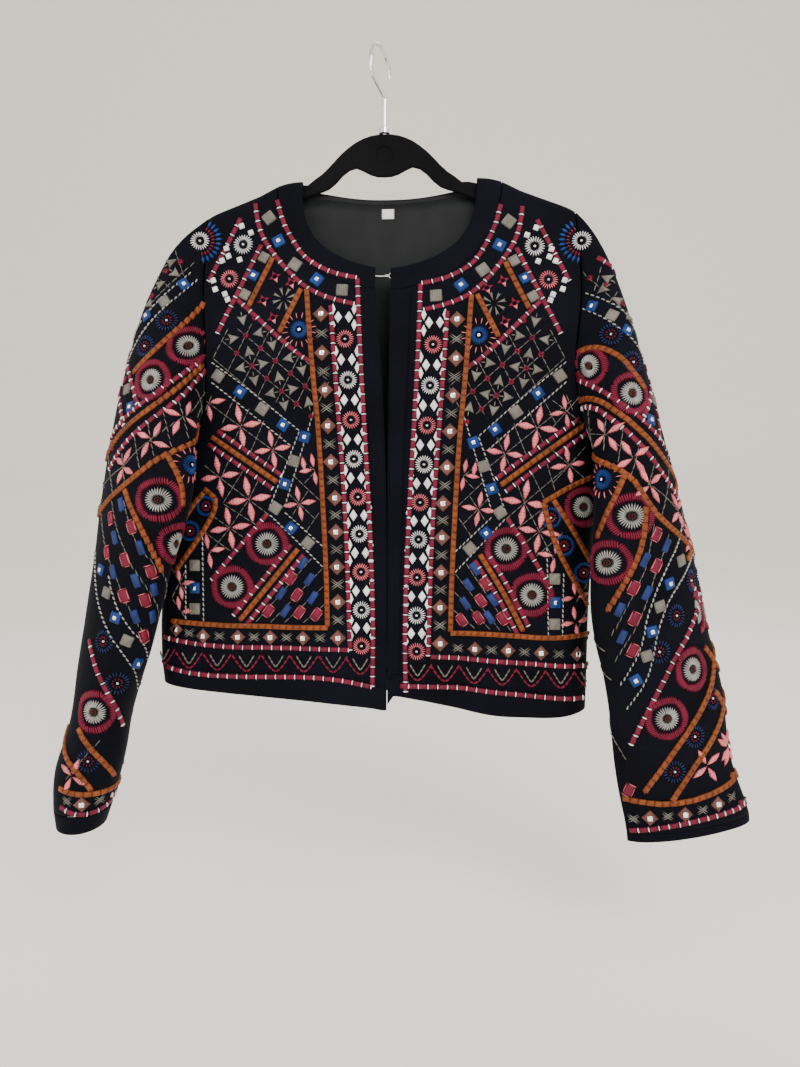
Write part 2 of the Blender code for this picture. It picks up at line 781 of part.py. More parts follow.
def sleeve_head_point(side: int, table: tuple, part: float, angle: float) -> Point:
    """A point of the sleeve's head, on a curve from the armhole to the first ring."""
    start = Vector(armhole_point(side, angle))
    turned = ring_angle(angle)
    end = Vector(ring_point(side, table, 0.0, turned))
    turn = angle * 180.0 / pi
    out = look_up(SLEEVE_HEAD, turn, 1 if side == LEFT else 2)
    forward, down, arrive = (look_up(SLEEVE_HEAD, turn, c) for c in (3, 4, 5))
    leave = Vector((side * out, -forward, -down))
    below = Vector(ring_point(side, table, 0.02, turned)) - end
    reach = below.normalized() * arrive
    square = part * part
    cube = square * part
    point = (
        start * (2.0 * cube - 3.0 * square + 1.0)
        + leave * (cube - 2.0 * square + part)
        + end * (3.0 * square - 2.0 * cube)
        + reach * (cube - square)
    )
    return tuple(point)


def build_sleeves() -> None:
    """Make the sleeves and their plain cuffs."""
    for side, word, table in ((LEFT, "left", SLEEVE_LEFT), (RIGHT, "right", SLEEVE_RIGHT)):
        angles = [2.0 * pi * i / RING_POINTS for i in range(RING_POINTS)]
        long = table[0][0] - table[-1][0]
        stop = 1.0 - (CUFF_BAND_HEIGHT + SEAM_GAP) / long * 1.15
        rows = [
            [sleeve_head_point(side, table, i / HEAD_ROWS, a) for a in angles]
            for i in range(HEAD_ROWS)
        ]
        rows += [
            [ring_point(side, table, stop * i / SLEEVE_ROWS, ring_angle(a)) for a in angles]
            for i in range(SLEEVE_ROWS + 1)
        ]
        add_cloth(f"sleeve_{word}", [rows], outward_from_sleeve(side, table), closed=True)
        first = stop + 3.0 * SEAM_GAP / long
        cuff = [
            [ring_point(side, table, first + (1.0 - first) * i / 2, ring_angle(a)) for a in angles]
            for i in range(3)
        ]
        add_cloth(f"cuff_{word}", [cuff], outward_from_sleeve(side, table), closed=True)


def outward_from_sleeve(side: int, table: tuple) -> Callable[[Vector], Vector]:
    """The way out of a sleeve near a point: away from its middle line."""

    def outward(place: Vector) -> Vector:
        out = (look_up(table, place.z, 1) + look_up(table, place.z, 2)) / 2.0
        middle = Vector((CENTRE_X + side * out, look_up(table, place.z, 3), place.z))
        return (place - middle).normalized()

    return outward


def build_hanger() -> None:
    """Make the flat hanger, its collar and its wire hook."""
    mesh = bmesh.new()
    grid = []
    for i in range(-HANGER_STATIONS, HANGER_STATIONS + 1):
        side = LEFT if i < 0 else RIGHT
        out = HANGER[-1][0] * abs(i) / HANGER_STATIONS
        x = HANGER_X + side * out
        ends = (look_up(HANGER, out, 2), hanger_top(x, out))
        grid.append([(x, -HANGER_THICK / 2, z) for z in ends])
    add_grid(mesh, grid)
    bmesh.ops.recalc_face_normals(mesh, faces=mesh.faces)
    mesh.normal_update()
    if sum(f.normal.y for f in mesh.faces) > 0:
        bmesh.ops.reverse_faces(mesh, faces=mesh.faces)
    body = add_object("hanger_body", mesh, HANGER_FLOCK)
    thick = body.modifiers.new("thickness", "SOLIDIFY")
    thick.thickness = HANGER_THICK * MM
    thick.offset = -1.0
    edge = body.modifiers.new("edge", "BEVEL")
    edge.width = HANGER_EDGE * MM
    edge.segments = 2
    edge.limit_method = "ANGLE"
    edge.angle_limit = radians(60.0)
    cut_roundel(body)
    build_collar()
    add_wire("hanger_hook", hook_points(), WIRE)


def hanger_top(x: float, out: float) -> float:
    """Height of the hanger's upper edge, which carries the shoulders where they rest on it."""
    top = look_up(HANGER, out, 1)
    if out < HANGER_CLOTH_FROM:
        return top
    seat = shoulder_top(x - CENTRE_X) - WALL - HANGER_SEAT_GAP
    return seat if HANGER_SEAT_FROM < out < HANGER_SEAT_TO else min(top, seat)


def cut_roundel(body: bpy.types.Object) -> None:
    """Cut the plain round recess in the hanger's front face."""
    mesh = bmesh.new()
    bmesh.ops.create_cone(
        mesh,
        cap_ends=True,
        segments=28,
        radius1=ROUNDEL_RADIUS * MM,
        radius2=ROUNDEL_RADIUS * MM,
        depth=2.0 * ROUNDEL_DEEP * MM,
    )
    cutter_data = bpy.data.meshes.new("roundel_cutter")
    mesh.to_mesh(cutter_data)
    mesh.free()
    cutter = bpy.data.objects.new("roundel_cutter", cutter_data)
    cutter.location = Vector((HANGER_X, -HANGER_THICK / 2, ROUNDEL_Z)) * MM
    cutter.rotation_euler = (pi / 2, 0.0, 0.0)
    cutter.hide_render = True
    cutter.display_type = "WIRE"
    bpy.data.collections["cutters"].objects.link(cutter)
    cut = body.modifiers.new("roundel", "BOOLEAN")
    cut.operation = "DIFFERENCE"
    cut.object = cutter


def build_collar() -> None:
    """Make the turned collar that the hook stands in."""
    data = bpy.data.meshes.new("hanger_collar")
    profile = (
        (COLLAR_RADIUS - 1.0, COLLAR_TOP),
        (COLLAR_RADIUS, COLLAR_TOP - 1.2),
        (COLLAR_RADIUS, COLLAR_BOTTOM + COLLAR_FOOT),
    )
    bore = WIRE / 2 + SEAM_GAP
    points = [(bore, COLLAR_TOP)] + list(profile) + [(bore, COLLAR_BOTTOM + COLLAR_FOOT)]
    mesh = bmesh.new()
    verts = [mesh.verts.new(Vector((r, 0.0, z)) * MM) for r, z in points]
    for i in range(len(verts)):
        mesh.edges.new((verts[i], verts[(i + 1) % len(verts)]))
    mesh.to_mesh(data)
    mesh.free()
    collar = bpy.data.objects.new("hanger_collar", data)
    collar.location = Vector((HANGER_X, 0.0, 0.0)) * MM
    bpy.data.collections["embroidered_jacket"].objects.link(collar)
    dress(collar, STEEL)
    turn = collar.modifiers.new("turn", "SCREW")
    turn.steps = 20
    turn.render_steps = 20
    turn.use_merge_vertices = True
    turn.merge_threshold = 0.00005


def hook_points() -> list[Point]:
    """Points of the wire's centre line, from the collar up and round to the tip."""
    top = WIRE / 2
    along_hook = (cos(LOOP_TURN), sin(LOOP_TURN))
    stem_low = COLLAR_BOTTOM + 2.8
    points = []
    for i in range(5):
        points.append((HANGER_X, 0.0, stem_low + (STEM_TOP - stem_low) * i / 4))
    centre = top - LOOP_RADIUS
    first = LOOP_RADIUS * cos(LOOP_START)
    first_z = centre + LOOP_RADIUS * sin(LOOP_START)
    joint = Vector((first * along_hook[0], first * along_hook[1], first_z))
    low = Vector(points[-1])
    up = Vector((0.0, 0.0, STEM_PULL))
    around = (sin(LOOP_START) * along_hook[0], sin(LOOP_START) * along_hook[1], -cos(LOOP_START))
    leave = Vector(around) * BEND_PULL
    for i in range(1, BEND_PARTS):
        p = i / BEND_PARTS
        curve = (
            low * (2 * p**3 - 3 * p**2 + 1)
            + up * (p**3 - 2 * p**2 + p)
            + joint * (3 * p**2 - 2 * p**3)
            + leave * (p**3 - p**2)
        )
        points.append(tuple(curve))
    for i in range(LOOP_PARTS + 1):
        angle = LOOP_START + (LOOP_END - LOOP_START) * i / LOOP_PARTS
        reach = LOOP_RADIUS * cos(angle)
        z = centre + LOOP_RADIUS * sin(angle)
        points.append((reach * along_hook[0], reach * along_hook[1], z))
    return points


def add_wire(name: str, points: list[Point], diameter: float) -> None:
    """Make one bent steel wire with filled ends."""
    curve = bpy.data.curves.new(name, "CURVE")
    curve.dimensions = "3D"
    curve.bevel_depth = diameter / 2 * MM
    curve.bevel_resolution = 2
    curve.use_fill_caps = True
    spline = curve.splines.new("POLY")
    spline.points.add(len(points) - 1)
    for place, point in zip(spline.points, points):
        place.co = (*(Vector(point) * MM), 1.0)
    wire = bpy.data.objects.new(name, curve)
    bpy.data.collections["embroidered_jacket"].objects.link(wire)
    dress(wire, STEEL)


def build_fastening() -> None:
    """Make the small wire hook on the left front and the eye that holds it on the right one."""
    edge = front_edge(LEFT, FASTENING_Z)
    inside = body_depth(1, edge, FASTENING_Z) - WALL - SEAM_GAP - FASTENING_WIRE / 2
    for name, route in (("closure_hook", FASTENING_HOOK), ("closure_eye", FASTENING_EYE)):
        points = [(CENTRE_X + x, back - inside, FASTENING_Z + up) for x, back, up in route]
        add_wire(name, points, FASTENING_WIRE)


def main() -> None:
    """Clear the scene and make every piece."""
    for obj in list(bpy.data.objects):
        bpy.data.objects.remove(obj)
    for name in ("embroidered_jacket", "cutters"):
        bpy.context.scene.collection.children.link(bpy.data.collections.new(name))
    build_fronts()
    build_back()
    build_neck_band()
    build_hem_band()
    build_sleeves()
    build_fastening()
    build_hanger()


main()
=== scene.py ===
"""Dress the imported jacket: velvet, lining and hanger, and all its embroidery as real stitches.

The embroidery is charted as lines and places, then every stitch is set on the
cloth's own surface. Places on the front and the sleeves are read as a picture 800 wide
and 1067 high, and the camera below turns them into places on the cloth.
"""

import logging
from collections import defaultdict
from collections.abc import Iterator
from dataclasses import dataclass, field
from enum import Enum
from math import asin, atan2, cos, pi, radians, sin, sqrt

import bmesh
import bpy
from mathutils import Matrix, Vector, noise
from mathutils.bvhtree import BVHTree


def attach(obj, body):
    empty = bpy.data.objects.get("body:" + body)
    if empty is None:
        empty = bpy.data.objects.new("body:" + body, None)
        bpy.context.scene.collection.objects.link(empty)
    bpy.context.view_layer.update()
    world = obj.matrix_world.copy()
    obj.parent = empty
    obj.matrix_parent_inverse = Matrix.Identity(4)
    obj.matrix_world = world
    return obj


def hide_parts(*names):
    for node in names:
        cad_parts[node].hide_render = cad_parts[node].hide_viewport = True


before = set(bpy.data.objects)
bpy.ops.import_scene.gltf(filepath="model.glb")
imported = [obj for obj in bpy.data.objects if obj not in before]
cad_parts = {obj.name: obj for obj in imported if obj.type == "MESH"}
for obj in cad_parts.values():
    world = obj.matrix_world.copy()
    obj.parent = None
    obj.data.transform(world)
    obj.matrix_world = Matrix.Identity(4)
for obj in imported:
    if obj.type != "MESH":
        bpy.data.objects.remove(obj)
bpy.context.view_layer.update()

log = logging.getLogger("jacket")

MM = 0.001
Place = tuple[float, float]
Route = list[Place]
Size = tuple[float, float, float]
Step = tuple[float, float, float]
Found = tuple[Vector, Vector, Vector]


class Thread(Enum):
    """The threads, mirrors and beads of the embroidery, each with its colour and roughness."""

    CRIMSON = ("crimson_thread", (0.15, 0.004, 0.024), 0.5)
    WHITE = ("white_thread", (0.88, 0.86, 0.87), 0.5)
    PINK = ("pink_thread", (0.70, 0.16, 0.19), 0.5)
    ORANGE = ("orange_thread", (0.21, 0.052, 0.009), 0.5)
    RUST = ("rust_thread", (0.14, 0.014, 0.006), 0.55)
    BLUE = ("blue_thread", (0.005, 0.032, 0.16), 0.45)
    INDIGO = ("indigo_thread", (0.010, 0.024, 0.12), 0.5)
    NAVY = ("navy_thread", (0.010, 0.019, 0.085), 0.5)
    GREY = ("grey_thread", (0.15, 0.138, 0.118), 0.6)
    PALE = ("pale_thread", (0.36, 0.35, 0.33), 0.55)
    COPPER = ("copper_thread", (0.13, 0.05, 0.038), 0.45)
    BROWN = ("brown_thread", (0.055, 0.020, 0.012), 0.6)


class Form(Enum):
    """The forms that a laid stitch or an ornament takes."""

    BLOCK = "block"
    STITCH = "stitch"
    LEAF = "leaf"
    BEAD = "bead"
    DIAMOND = "diamond"
    WEDGE = "wedge"
    MIRROR = "mirror"


class Held(Enum):
    """How a piece of cloth is held."""

    HUNG = "hung"
    LAID = "laid"


@dataclass(frozen=True)
class Velvet:
    """Cotton velvet with a short nap that catches light at grazing angles."""

    name: str
    colour: tuple[float, float, float]
    dark: tuple[float, float, float]
    roughness: float = 0.85
    sheen: float = 0.03
    sheen_roughness: float = 0.35
    tint: tuple[float, float, float] = (0.45, 0.5, 0.75)
    nap_scale: float = 900.0

    def make(self) -> bpy.types.Material:
        """Build the material."""
        nodes, links, shader = new_material(self.name)
        shader.inputs["Roughness"].default_value = self.roughness
        shader.inputs["Sheen Weight"].default_value = self.sheen
        shader.inputs["Sheen Roughness"].default_value = self.sheen_roughness
        shader.inputs["Sheen Tint"].default_value = (*self.tint, 1.0)
        shader.inputs["Specular IOR Level"].default_value = 0.08
        place = nodes.new("ShaderNodeTexCoord")
        crush = add_noise(nodes, links, place.outputs["Object"], 14.0, 4.0)
        mix = add_ramp(nodes, links, crush.outputs["Fac"], self.dark, self.colour, 0.35, 0.68)
        links.new(mix.outputs["Color"], shader.inputs["Base Color"])
        nap = add_noise(nodes, links, place.outputs["Object"], self.nap_scale, 2.0)
        add_bump(nodes, links, nap.outputs["Fac"], shader, 0.25, 0.0006)
        return bpy.data.materials[self.name]


@dataclass(frozen=True)
class Woven:
    """Plain woven cloth, such as the lining and the label."""

    name: str
    colour: tuple[float, float, float]
    dark: tuple[float, float, float]
    roughness: float = 0.6
    threads: float = 1500.0

    def make(self) -> bpy.types.Material:
        """Build the material."""
        nodes, links, shader = new_material(self.name)
        shader.inputs["Roughness"].default_value = self.roughness
        shader.inputs["Specular IOR Level"].default_value = 0.2
        place = nodes.new("ShaderNodeTexCoord")
        total = None
        for direction in ("X", "Z"):
            wave = nodes.new("ShaderNodeTexWave")
            wave.bands_direction = direction
            wave.inputs["Scale"].default_value = self.threads
            links.new(place.outputs["Object"], wave.inputs["Vector"])
            if total is None:
                total = wave.outputs["Fac"]
                continue
            blend = nodes.new("ShaderNodeMath")
            blend.operation = "MAXIMUM"
            links.new(total, blend.inputs[0])
            links.new(wave.outputs["Fac"], blend.inputs[1])
            total = blend.outputs[0]
        slub = add_noise(nodes, links, place.outputs["Object"], 60.0, 3.0)
        mix = add_ramp(nodes, links, slub.outputs["Fac"], self.dark, self.colour, 0.3, 0.7)
        links.new(mix.outputs["Color"], shader.inputs["Base Color"])
        add_bump(nodes, links, total, shader, 0.3, 0.0002)
        return bpy.data.materials[self.name]


@dataclass(frozen=True)
class Floss:
    """Embroidery thread: strands side by side, which the stitch's own grain runs along."""

    thread: Thread
    strands: float = 1.0

    def make(self) -> bpy.types.Material:
        """Build the material."""
        name, colour, roughness = self.thread.value
        nodes, links, shader = new_material(name)
        shader.inputs["Roughness"].default_value = roughness
        shader.inputs["Specular IOR Level"].default_value = 0.22
        grain = nodes.new("ShaderNodeAttribute")
        grain.attribute_name = "grain"
        wave = nodes.new("ShaderNodeTexWave")
        wave.bands_direction = "X"
        wave.inputs["Scale"].default_value = self.strands
        wave.inputs["Distortion"].default_value = 0.8
        wave.inputs["Detail"].default_value = 1.0
        links.new(grain.outputs["Vector"], wave.inputs["Vector"])
        place = nodes.new("ShaderNodeTexCoord")
        wear = add_noise(nodes, links, place.outputs["Object"], 90.0, 3.0)
        # The colour follows the strand wave as well as the wear noise: the wave paints shade in the grooves
        # between the strands and a painted highlight on their crowns; the wear noise is a random tone.
        blend = nodes.new("ShaderNodeMath")
        blend.operation = "MULTIPLY_ADD"
        links.new(wave.outputs["Fac"], blend.inputs[0])
        blend.inputs[1].default_value = 0.3
        links.new(wear.outputs["Fac"], blend.inputs[2])
        # deep is the painted shade end of the ramp and bright its painted highlight end; the random wear
        # tone also spreads the colour between them.
        deep = tuple(c * 0.5 for c in colour)
        bright = tuple(min(1.0, c * 1.25) for c in colour)
        mix = add_ramp(nodes, links, blend.outputs[0], deep, bright, 0.35, 0.95)
        links.new(mix.outputs["Color"], shader.inputs["Base Color"])
        add_bump(nodes, links, wave.outputs["Fac"], shader, 0.5, 0.0003)
        return bpy.data.materials[name]


@dataclass(frozen=True)
class Metal:
    """Polished steel wire or a small mirror."""

    name: str
    colour: tuple[float, float, float]
    roughness: float
    mark_scale: float

    def make(self) -> bpy.types.Material:
        """Build the material."""
        nodes, links, shader = new_material(self.name)
        shader.inputs["Metallic"].default_value = 1.0
        shader.inputs["Base Color"].default_value = (*self.colour, 1.0)
        place = nodes.new("ShaderNodeTexCoord")
        marks = add_noise(nodes, links, place.outputs["Object"], self.mark_scale, 3.0)
        spread = nodes.new("ShaderNodeMapRange")
        spread.inputs["To Min"].default_value = self.roughness * 0.6
        spread.inputs["To Max"].default_value = self.roughness * 1.6
        links.new(marks.outputs["Fac"], spread.inputs["Value"])
        links.new(spread.outputs["Result"], shader.inputs["Roughness"])
        add_bump(nodes, links, marks.outputs["Fac"], shader, 0.12, 0.0002)
        return bpy.data.materials[self.name]


JACKET_VELVET = Velvet("jacket_velvet", (0.0024, 0.0028, 0.0065), (0.0012, 0.0013, 0.0030))
HANGER_FLOCK = Velvet("hanger_flocking", (0.004, 0.004, 0.0046), (0.002, 0.002, 0.0023))
JACKET_LINING = Woven("jacket_lining", (0.006, 0.0068, 0.008), (0.003, 0.0034, 0.004))
LABEL_CLOTH = Woven("label_cloth", (0.72, 0.72, 0.70), (0.6, 0.6, 0.58), 0.7)
STEEL = Metal("hanger_steel", (0.68, 0.68, 0.69), 0.2, 400.0)
MIRROR = Metal("mirror_glass", (0.93, 0.94, 0.96), 0.09, 700.0)


def new_material(name: str) -> tuple[bpy.types.Nodes, bpy.types.NodeLinks, bpy.types.Node]:
    """Start a material and return its nodes, links and main shader."""
    material = bpy.data.materials.new(name)
    material.use_nodes = True
    tree = material.node_tree
    return tree.nodes, tree.links, tree.nodes["Principled BSDF"]


def add_noise(
    nodes: bpy.types.Nodes,
    links: bpy.types.NodeLinks,
    vector: bpy.types.NodeSocket,
    scale: float,
    detail: float,
) -> bpy.types.Node:
    """Add a noise texture that reads a vector."""
    node = nodes.new("ShaderNodeTexNoise")
    node.inputs["Scale"].default_value = scale
    node.inputs["Detail"].default_value = detail
    links.new(vector, node.inputs["Vector"])
    return node


def add_ramp(
    nodes: bpy.types.Nodes,
    links: bpy.types.NodeLinks,
    value: bpy.types.NodeSocket,
    low: tuple,
    high: tuple,
    start: float,
    end: float,
) -> bpy.types.Node:
    """Add a ramp between two colours."""
    node = nodes.new("ShaderNodeValToRGB")
    first, last = node.color_ramp.elements
    first.position, last.position = start, end
    first.color, last.color = (*low, 1.0), (*high, 1.0)
    links.new(value, node.inputs["Fac"])
    return node


def add_bump(
    nodes: bpy.types.Nodes,
    links: bpy.types.NodeLinks,
    height: bpy.types.NodeSocket,
    shader: bpy.types.Node,
    strength: float,
    distance: float,
) -> None:
    """Add a bump to a shader."""
    node = nodes.new("ShaderNodeBump")
    node.inputs["Strength"].default_value = strength
    node.inputs["Distance"].default_value = distance
    links.new(height, node.inputs["Height"])
    links.new(node.outputs["Normal"], shader.inputs["Normal"])


@dataclass(frozen=True)
class Studio:
    """The camera at the picture's viewpoint, the floor and the soft lights."""

    wide: float = 800.0
    high: float = 1067.0
    focal: float = 770.0
    azimuth: float = radians(3.2)
    elevation: float = radians(2.6)
    distance: float = 0.739
    target: tuple[float, float, float] = (0.018, 0.0, -0.453)
    sensor: float = 36.0
    floor_z: float = -0.86
    pale: tuple[float, float, float] = (0.92, 0.89, 0.83)

    def back(self) -> Vector:
        """The way from the target to the camera."""
        level = cos(self.elevation)
        return Vector((sin(self.azimuth) * level, -cos(self.azimuth) * level, sin(self.elevation)))

    def eye(self) -> Vector:
        """Where the camera stands."""
        return Vector(self.target) + self.back() * self.distance

    def right(self) -> Vector:
        """The way to the right in the picture."""
        return Vector((0.0, 0.0, 1.0)).cross(self.back()).normalized()

    def ray(self, across: float, down: float) -> Vector:
        """The way from the camera through a place of the picture."""
        back, right = self.back(), self.right()
        up = back.cross(right)
        way = right * (across - self.wide / 2) + up * (self.high / 2 - down) - back * self.focal
        return way.normalized()

    def across(self, point: Vector) -> float:
        """How far across the picture a point shows."""
        off = point - self.eye()
        return self.wide / 2 - off.dot(self.right()) / off.dot(self.back()) * self.focal

    def set_up(self) -> None:
        """Make the camera, the floor and the lights."""
        data = bpy.data.cameras.new("camera")
        data.sensor_width = self.sensor
        data.lens = self.sensor * self.focal / self.high
        data.clip_start = 0.01
        camera = bpy.data.objects.new("camera", data)
        camera.location = self.eye()
        camera.rotation_mode = "QUATERNION"
        camera.rotation_quaternion = (-self.back()).to_track_quat("-Z", "Y")
        bpy.context.collection.objects.link(camera)
        bpy.context.scene.camera = camera
        self.make_floor()
        self.make_lights()

    def make_floor(self) -> None:
        """Make a plain pale floor that sweeps up far behind."""
        mesh = bmesh.new()
        rows = []
        for y, z in ((-6.0, 0.0), (2.0, 0.0), (3.0, 0.12), (3.8, 0.5), (4.3, 1.2), (4.6, 2.4), (4.7, 6.0)):
            rows.append([mesh.verts.new((x, y, z + self.floor_z)) for x in (-9.0, 9.0)])
        for low, high in zip(rows, rows[1:]):
            mesh.faces.new((low[0], low[1], high[1], high[0]))
        data = bpy.data.meshes.new("floor")
        mesh.to_mesh(data)
        mesh.free()
        data.shade_smooth()
        floor = bpy.data.objects.new("floor", data)
        shader = new_material("floor_paint")[2]
        shader.inputs["Base Color"].default_value = (*self.pale, 1.0)
        shader.inputs["Roughness"].default_value = 0.9
        data.materials.append(bpy.data.materials["floor_paint"])
        bpy.context.collection.objects.link(floor)

    def make_lights(self) -> None:
        """Make the soft lights and the pale surroundings."""
        for name, place, size, power in (
            ("key", (0.9, -1.9, 0.9), 1.4, 46.0),
            ("fill", (-1.6, -1.7, 0.1), 1.8, 22.0),
            ("rim", (0.4, 1.8, 1.2), 1.6, 20.0),
        ):
            data = bpy.data.lights.new(name, "AREA")
            data.shape = "DISK"
            data.size = size
            data.energy = power
            light = bpy.data.objects.new(name, data)
            light.location = place
            way = Vector(self.target) - light.location
            light.rotation_euler = way.to_track_quat("-Z", "Y").to_euler()
            bpy.context.collection.objects.link(light)
        world = bpy.data.worlds.new("pale_room")
        world.use_nodes = True
        background = world.node_tree.nodes["Background"]
        background.inputs["Color"].default_value = (*self.pale, 1.0)
        background.inputs["Strength"].default_value = 1.3
        bpy.context.scene.world = world


@dataclass
class ClothPiece:
    """One piece of cloth: its node, how it was cut, and what is on its two faces."""

    node: str
    flat: tuple[float, float]
    area: float
    rests_on: str = "hanger_body"
    held: Held = Held.HUNG
    finish: str = "jacket_velvet"
    slot: str = "velvet"
    levels: int = 2


@dataclass
class Tailor:
    """Copies each cloth node, smooths it, gives it its creases and its finishes."""

    rim_angle: float = radians(48.0)
    ripple: float = 0.9
    ripple_long: float = 0.055
    pucker: float = 0.28
    pucker_long: float = 0.017
    calm_above: float = -0.185
    calm_over: float = 0.05
    fold: tuple[float, float] = (-0.38, -0.57)
    press: float = 0.0045
    made: dict[str, bpy.types.Object] = field(default_factory=dict)

    def make(self, piece: ClothPiece) -> bpy.types.Object:
        """Dress one piece of cloth.

        Args:
            piece: what to dress.

        Returns:
            The new object, which replaces its node.
        """
        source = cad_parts[piece.node]
        mesh = bmesh.new()
        mesh.from_mesh(source.data)
        bmesh.ops.remove_doubles(mesh, verts=mesh.verts, dist=0.00001)
        bmesh.ops.join_triangles(
            mesh,
            faces=mesh.faces,
            angle_face_threshold=radians(35.0),
            angle_shape_threshold=radians(70.0),
            cmp_seam=False,
            cmp_sharp=False,
            cmp_uvs=False,
            cmp_vcols=False,
            cmp_materials=False,
        )
        rim = mesh.edges.layers.float.new("crease_edge")
        for edge in mesh.edges:
            if len(edge.link_faces) == 2 and edge.calc_face_angle() > self.rim_angle:
                edge[rim] = 1.0
        data = bpy.data.meshes.new(piece.node + "_rough")
        mesh.to_mesh(data)
        mesh.free()
        rough = bpy.data.objects.new(piece.node + "_rough", data)
        bpy.context.collection.objects.link(rough)
        finer = rough.modifiers.new("finer", "SUBSURF")
        finer.levels = piece.levels
        finer.render_levels = piece.levels
        made = to_plain_mesh(rough, piece.node + "_cloth")
        if piece.node == "sleeve_right":
            self.close_fold(made)
        self.add_creases(made)
        made.data.shade_smooth()
        made.data.materials.clear()
        made.data.materials.append(bpy.data.materials[piece.finish])
        if piece.finish == "jacket_velvet":
            made.data.materials.append(bpy.data.materials["jacket_lining"])
            self.line_inside(made, piece.node)
        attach(made, "root")
        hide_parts(piece.node)
        self.made[piece.node] = made
        return made

    def add_creases(self, piece: bpy.types.Object) -> None:
        """Move the cloth in soft ripples and small puckers, its two faces together."""
        for vert in piece.data.vertices:
            place = vert.co
            calm = part_way(place.z, self.calm_above, self.calm_above - self.calm_over)
            if calm == 0.0:
                continue
            level = Vector((place.x, 0.35 * place.y, place.z))
            ripple = noise.noise(level / self.ripple_long) * self.ripple
            pucker = noise.noise(level / self.pucker_long + Vector((7.0, 3.0, 1.0))) * self.pucker
            way = self.way_out(place)
            vert.co = place + way * (ripple + pucker) * calm * MM

    def close_fold(self, piece: bpy.types.Object) -> None:
        """Press the right sleeve's inner fold softly towards the body."""
        line = middle_line(piece.data)
        for vert in piece.data.vertices:
            x, _, z = vert.co
            left, right, _, _ = line.at(z)
            inner = part_way(x, (left + right) / 2.0, left)
            high, low = self.fold
            part = (high - z) / (high - low)
            if 0.0 < part < 1.0:
                vert.co.x -= self.press * inner * sin(part * pi) ** 0.7

    @staticmethod
    def way_out(place: Vector) -> Vector:
        """The way out of the cloth near a place of the body or of a sleeve."""
        side = -1.0 if place.x < 0.008 else 1.0
        beyond = abs(place.x - 0.008) - 0.2
        if beyond <= 0.0 or place.y > -0.004:
            return Vector((0.0, -1.0 if place.y < 0 else 1.0, 0.0))
        return Vector((side * 0.3, -1.0, 0.0)).normalized()

    @staticmethod
    def line_inside(piece: bpy.types.Object, node: str) -> None:
        """Give the inner face of the cloth its lining."""
        data = piece.data
        tube = node.startswith(("sleeve", "cuff"))
        line = middle_line(data) if tube else None
        for face in data.polygons:
            centre = face.center
            if tube:
                x, y = line.middle(centre.z)
                out = Vector((centre.x - x, centre.y - y, 0.0))
                inside = face.normal.dot(out.normalized()) < -0.3
            else:
                inside = face.normal.y > 0.3 if centre.y < 0 else face.normal.y < -0.3
            face.material_index = 1 if inside else 0


def part_way(value: float, start: float, end: float) -> float:
    """How far a value is on the way from a start to an end, none before it and one beyond it."""
    return min(1.0, max(0.0, (value - start) / (end - start)))


def between(first: Place, last: Place) -> Place:
    """The place half way between two."""
    return (first[0] + last[0]) / 2, (first[1] + last[1]) / 2


def to_plain_mesh(source: bpy.types.Object, name: str) -> bpy.types.Object:
    """Turn an object with its modifiers into a plain mesh object, and remove the source."""
    bpy.context.view_layer.update()
    graph = bpy.context.evaluated_depsgraph_get()
    data = bpy.data.meshes.new_from_object(source.evaluated_get(graph))
    data.name = name
    made = bpy.data.objects.new(name, data)
    bpy.context.collection.objects.link(made)
    old = source.data
    bpy.data.objects.remove(source)
    if old.users == 0:
        bpy.data.meshes.remove(old)
    return made


@dataclass
class MiddleLine:
    """The middle and the half sizes of a sleeve at each height."""

    low: float
    step: float
    rings: list[tuple[float, float, float, float]]

    def at(self, z: float) -> tuple[float, float, float, float]:
        """Read the ring (left, right, front, back) at a height."""
        place = min(max((z - self.low) / self.step, 0.0), len(self.rings) - 1.001)
        first = int(place)
        part = place - first
        pairs = zip(self.rings[first], self.rings[first + 1])
        return tuple(a + (b - a) * part for a, b in pairs)

    def middle(self, z: float) -> tuple[float, float]:
        """The middle of the sleeve at a height."""
        left, right, front, back = self.at(z)
        return (left + right) / 2.0, (front + back) / 2.0


def middle_line(data: bpy.types.Mesh, step: float = 0.012) -> MiddleLine:
    """Measure a sleeve ring by ring."""
    low = min(v.co.z for v in data.vertices)
    high = max(v.co.z for v in data.vertices)
    count = max(2, int((high - low) / step) + 1)
    boxes = [[1.0, -1.0, 1.0, -1.0] for _ in range(count)]
    for vert in data.vertices:
        x, y, z = vert.co
        near = (z - low) / step
        for i in {int(near), int(near + 0.5)}:
            if i < count:
                box = boxes[i]
                box[0], box[1] = min(box[0], x), max(box[1], x)
                box[2], box[3] = min(box[2], y), max(box[3], y)
    known = [box for box in boxes if box[0] <= box[1]]
    return MiddleLine(low, (high - low) / (len(known) - 1), [tuple(box) for box in known])


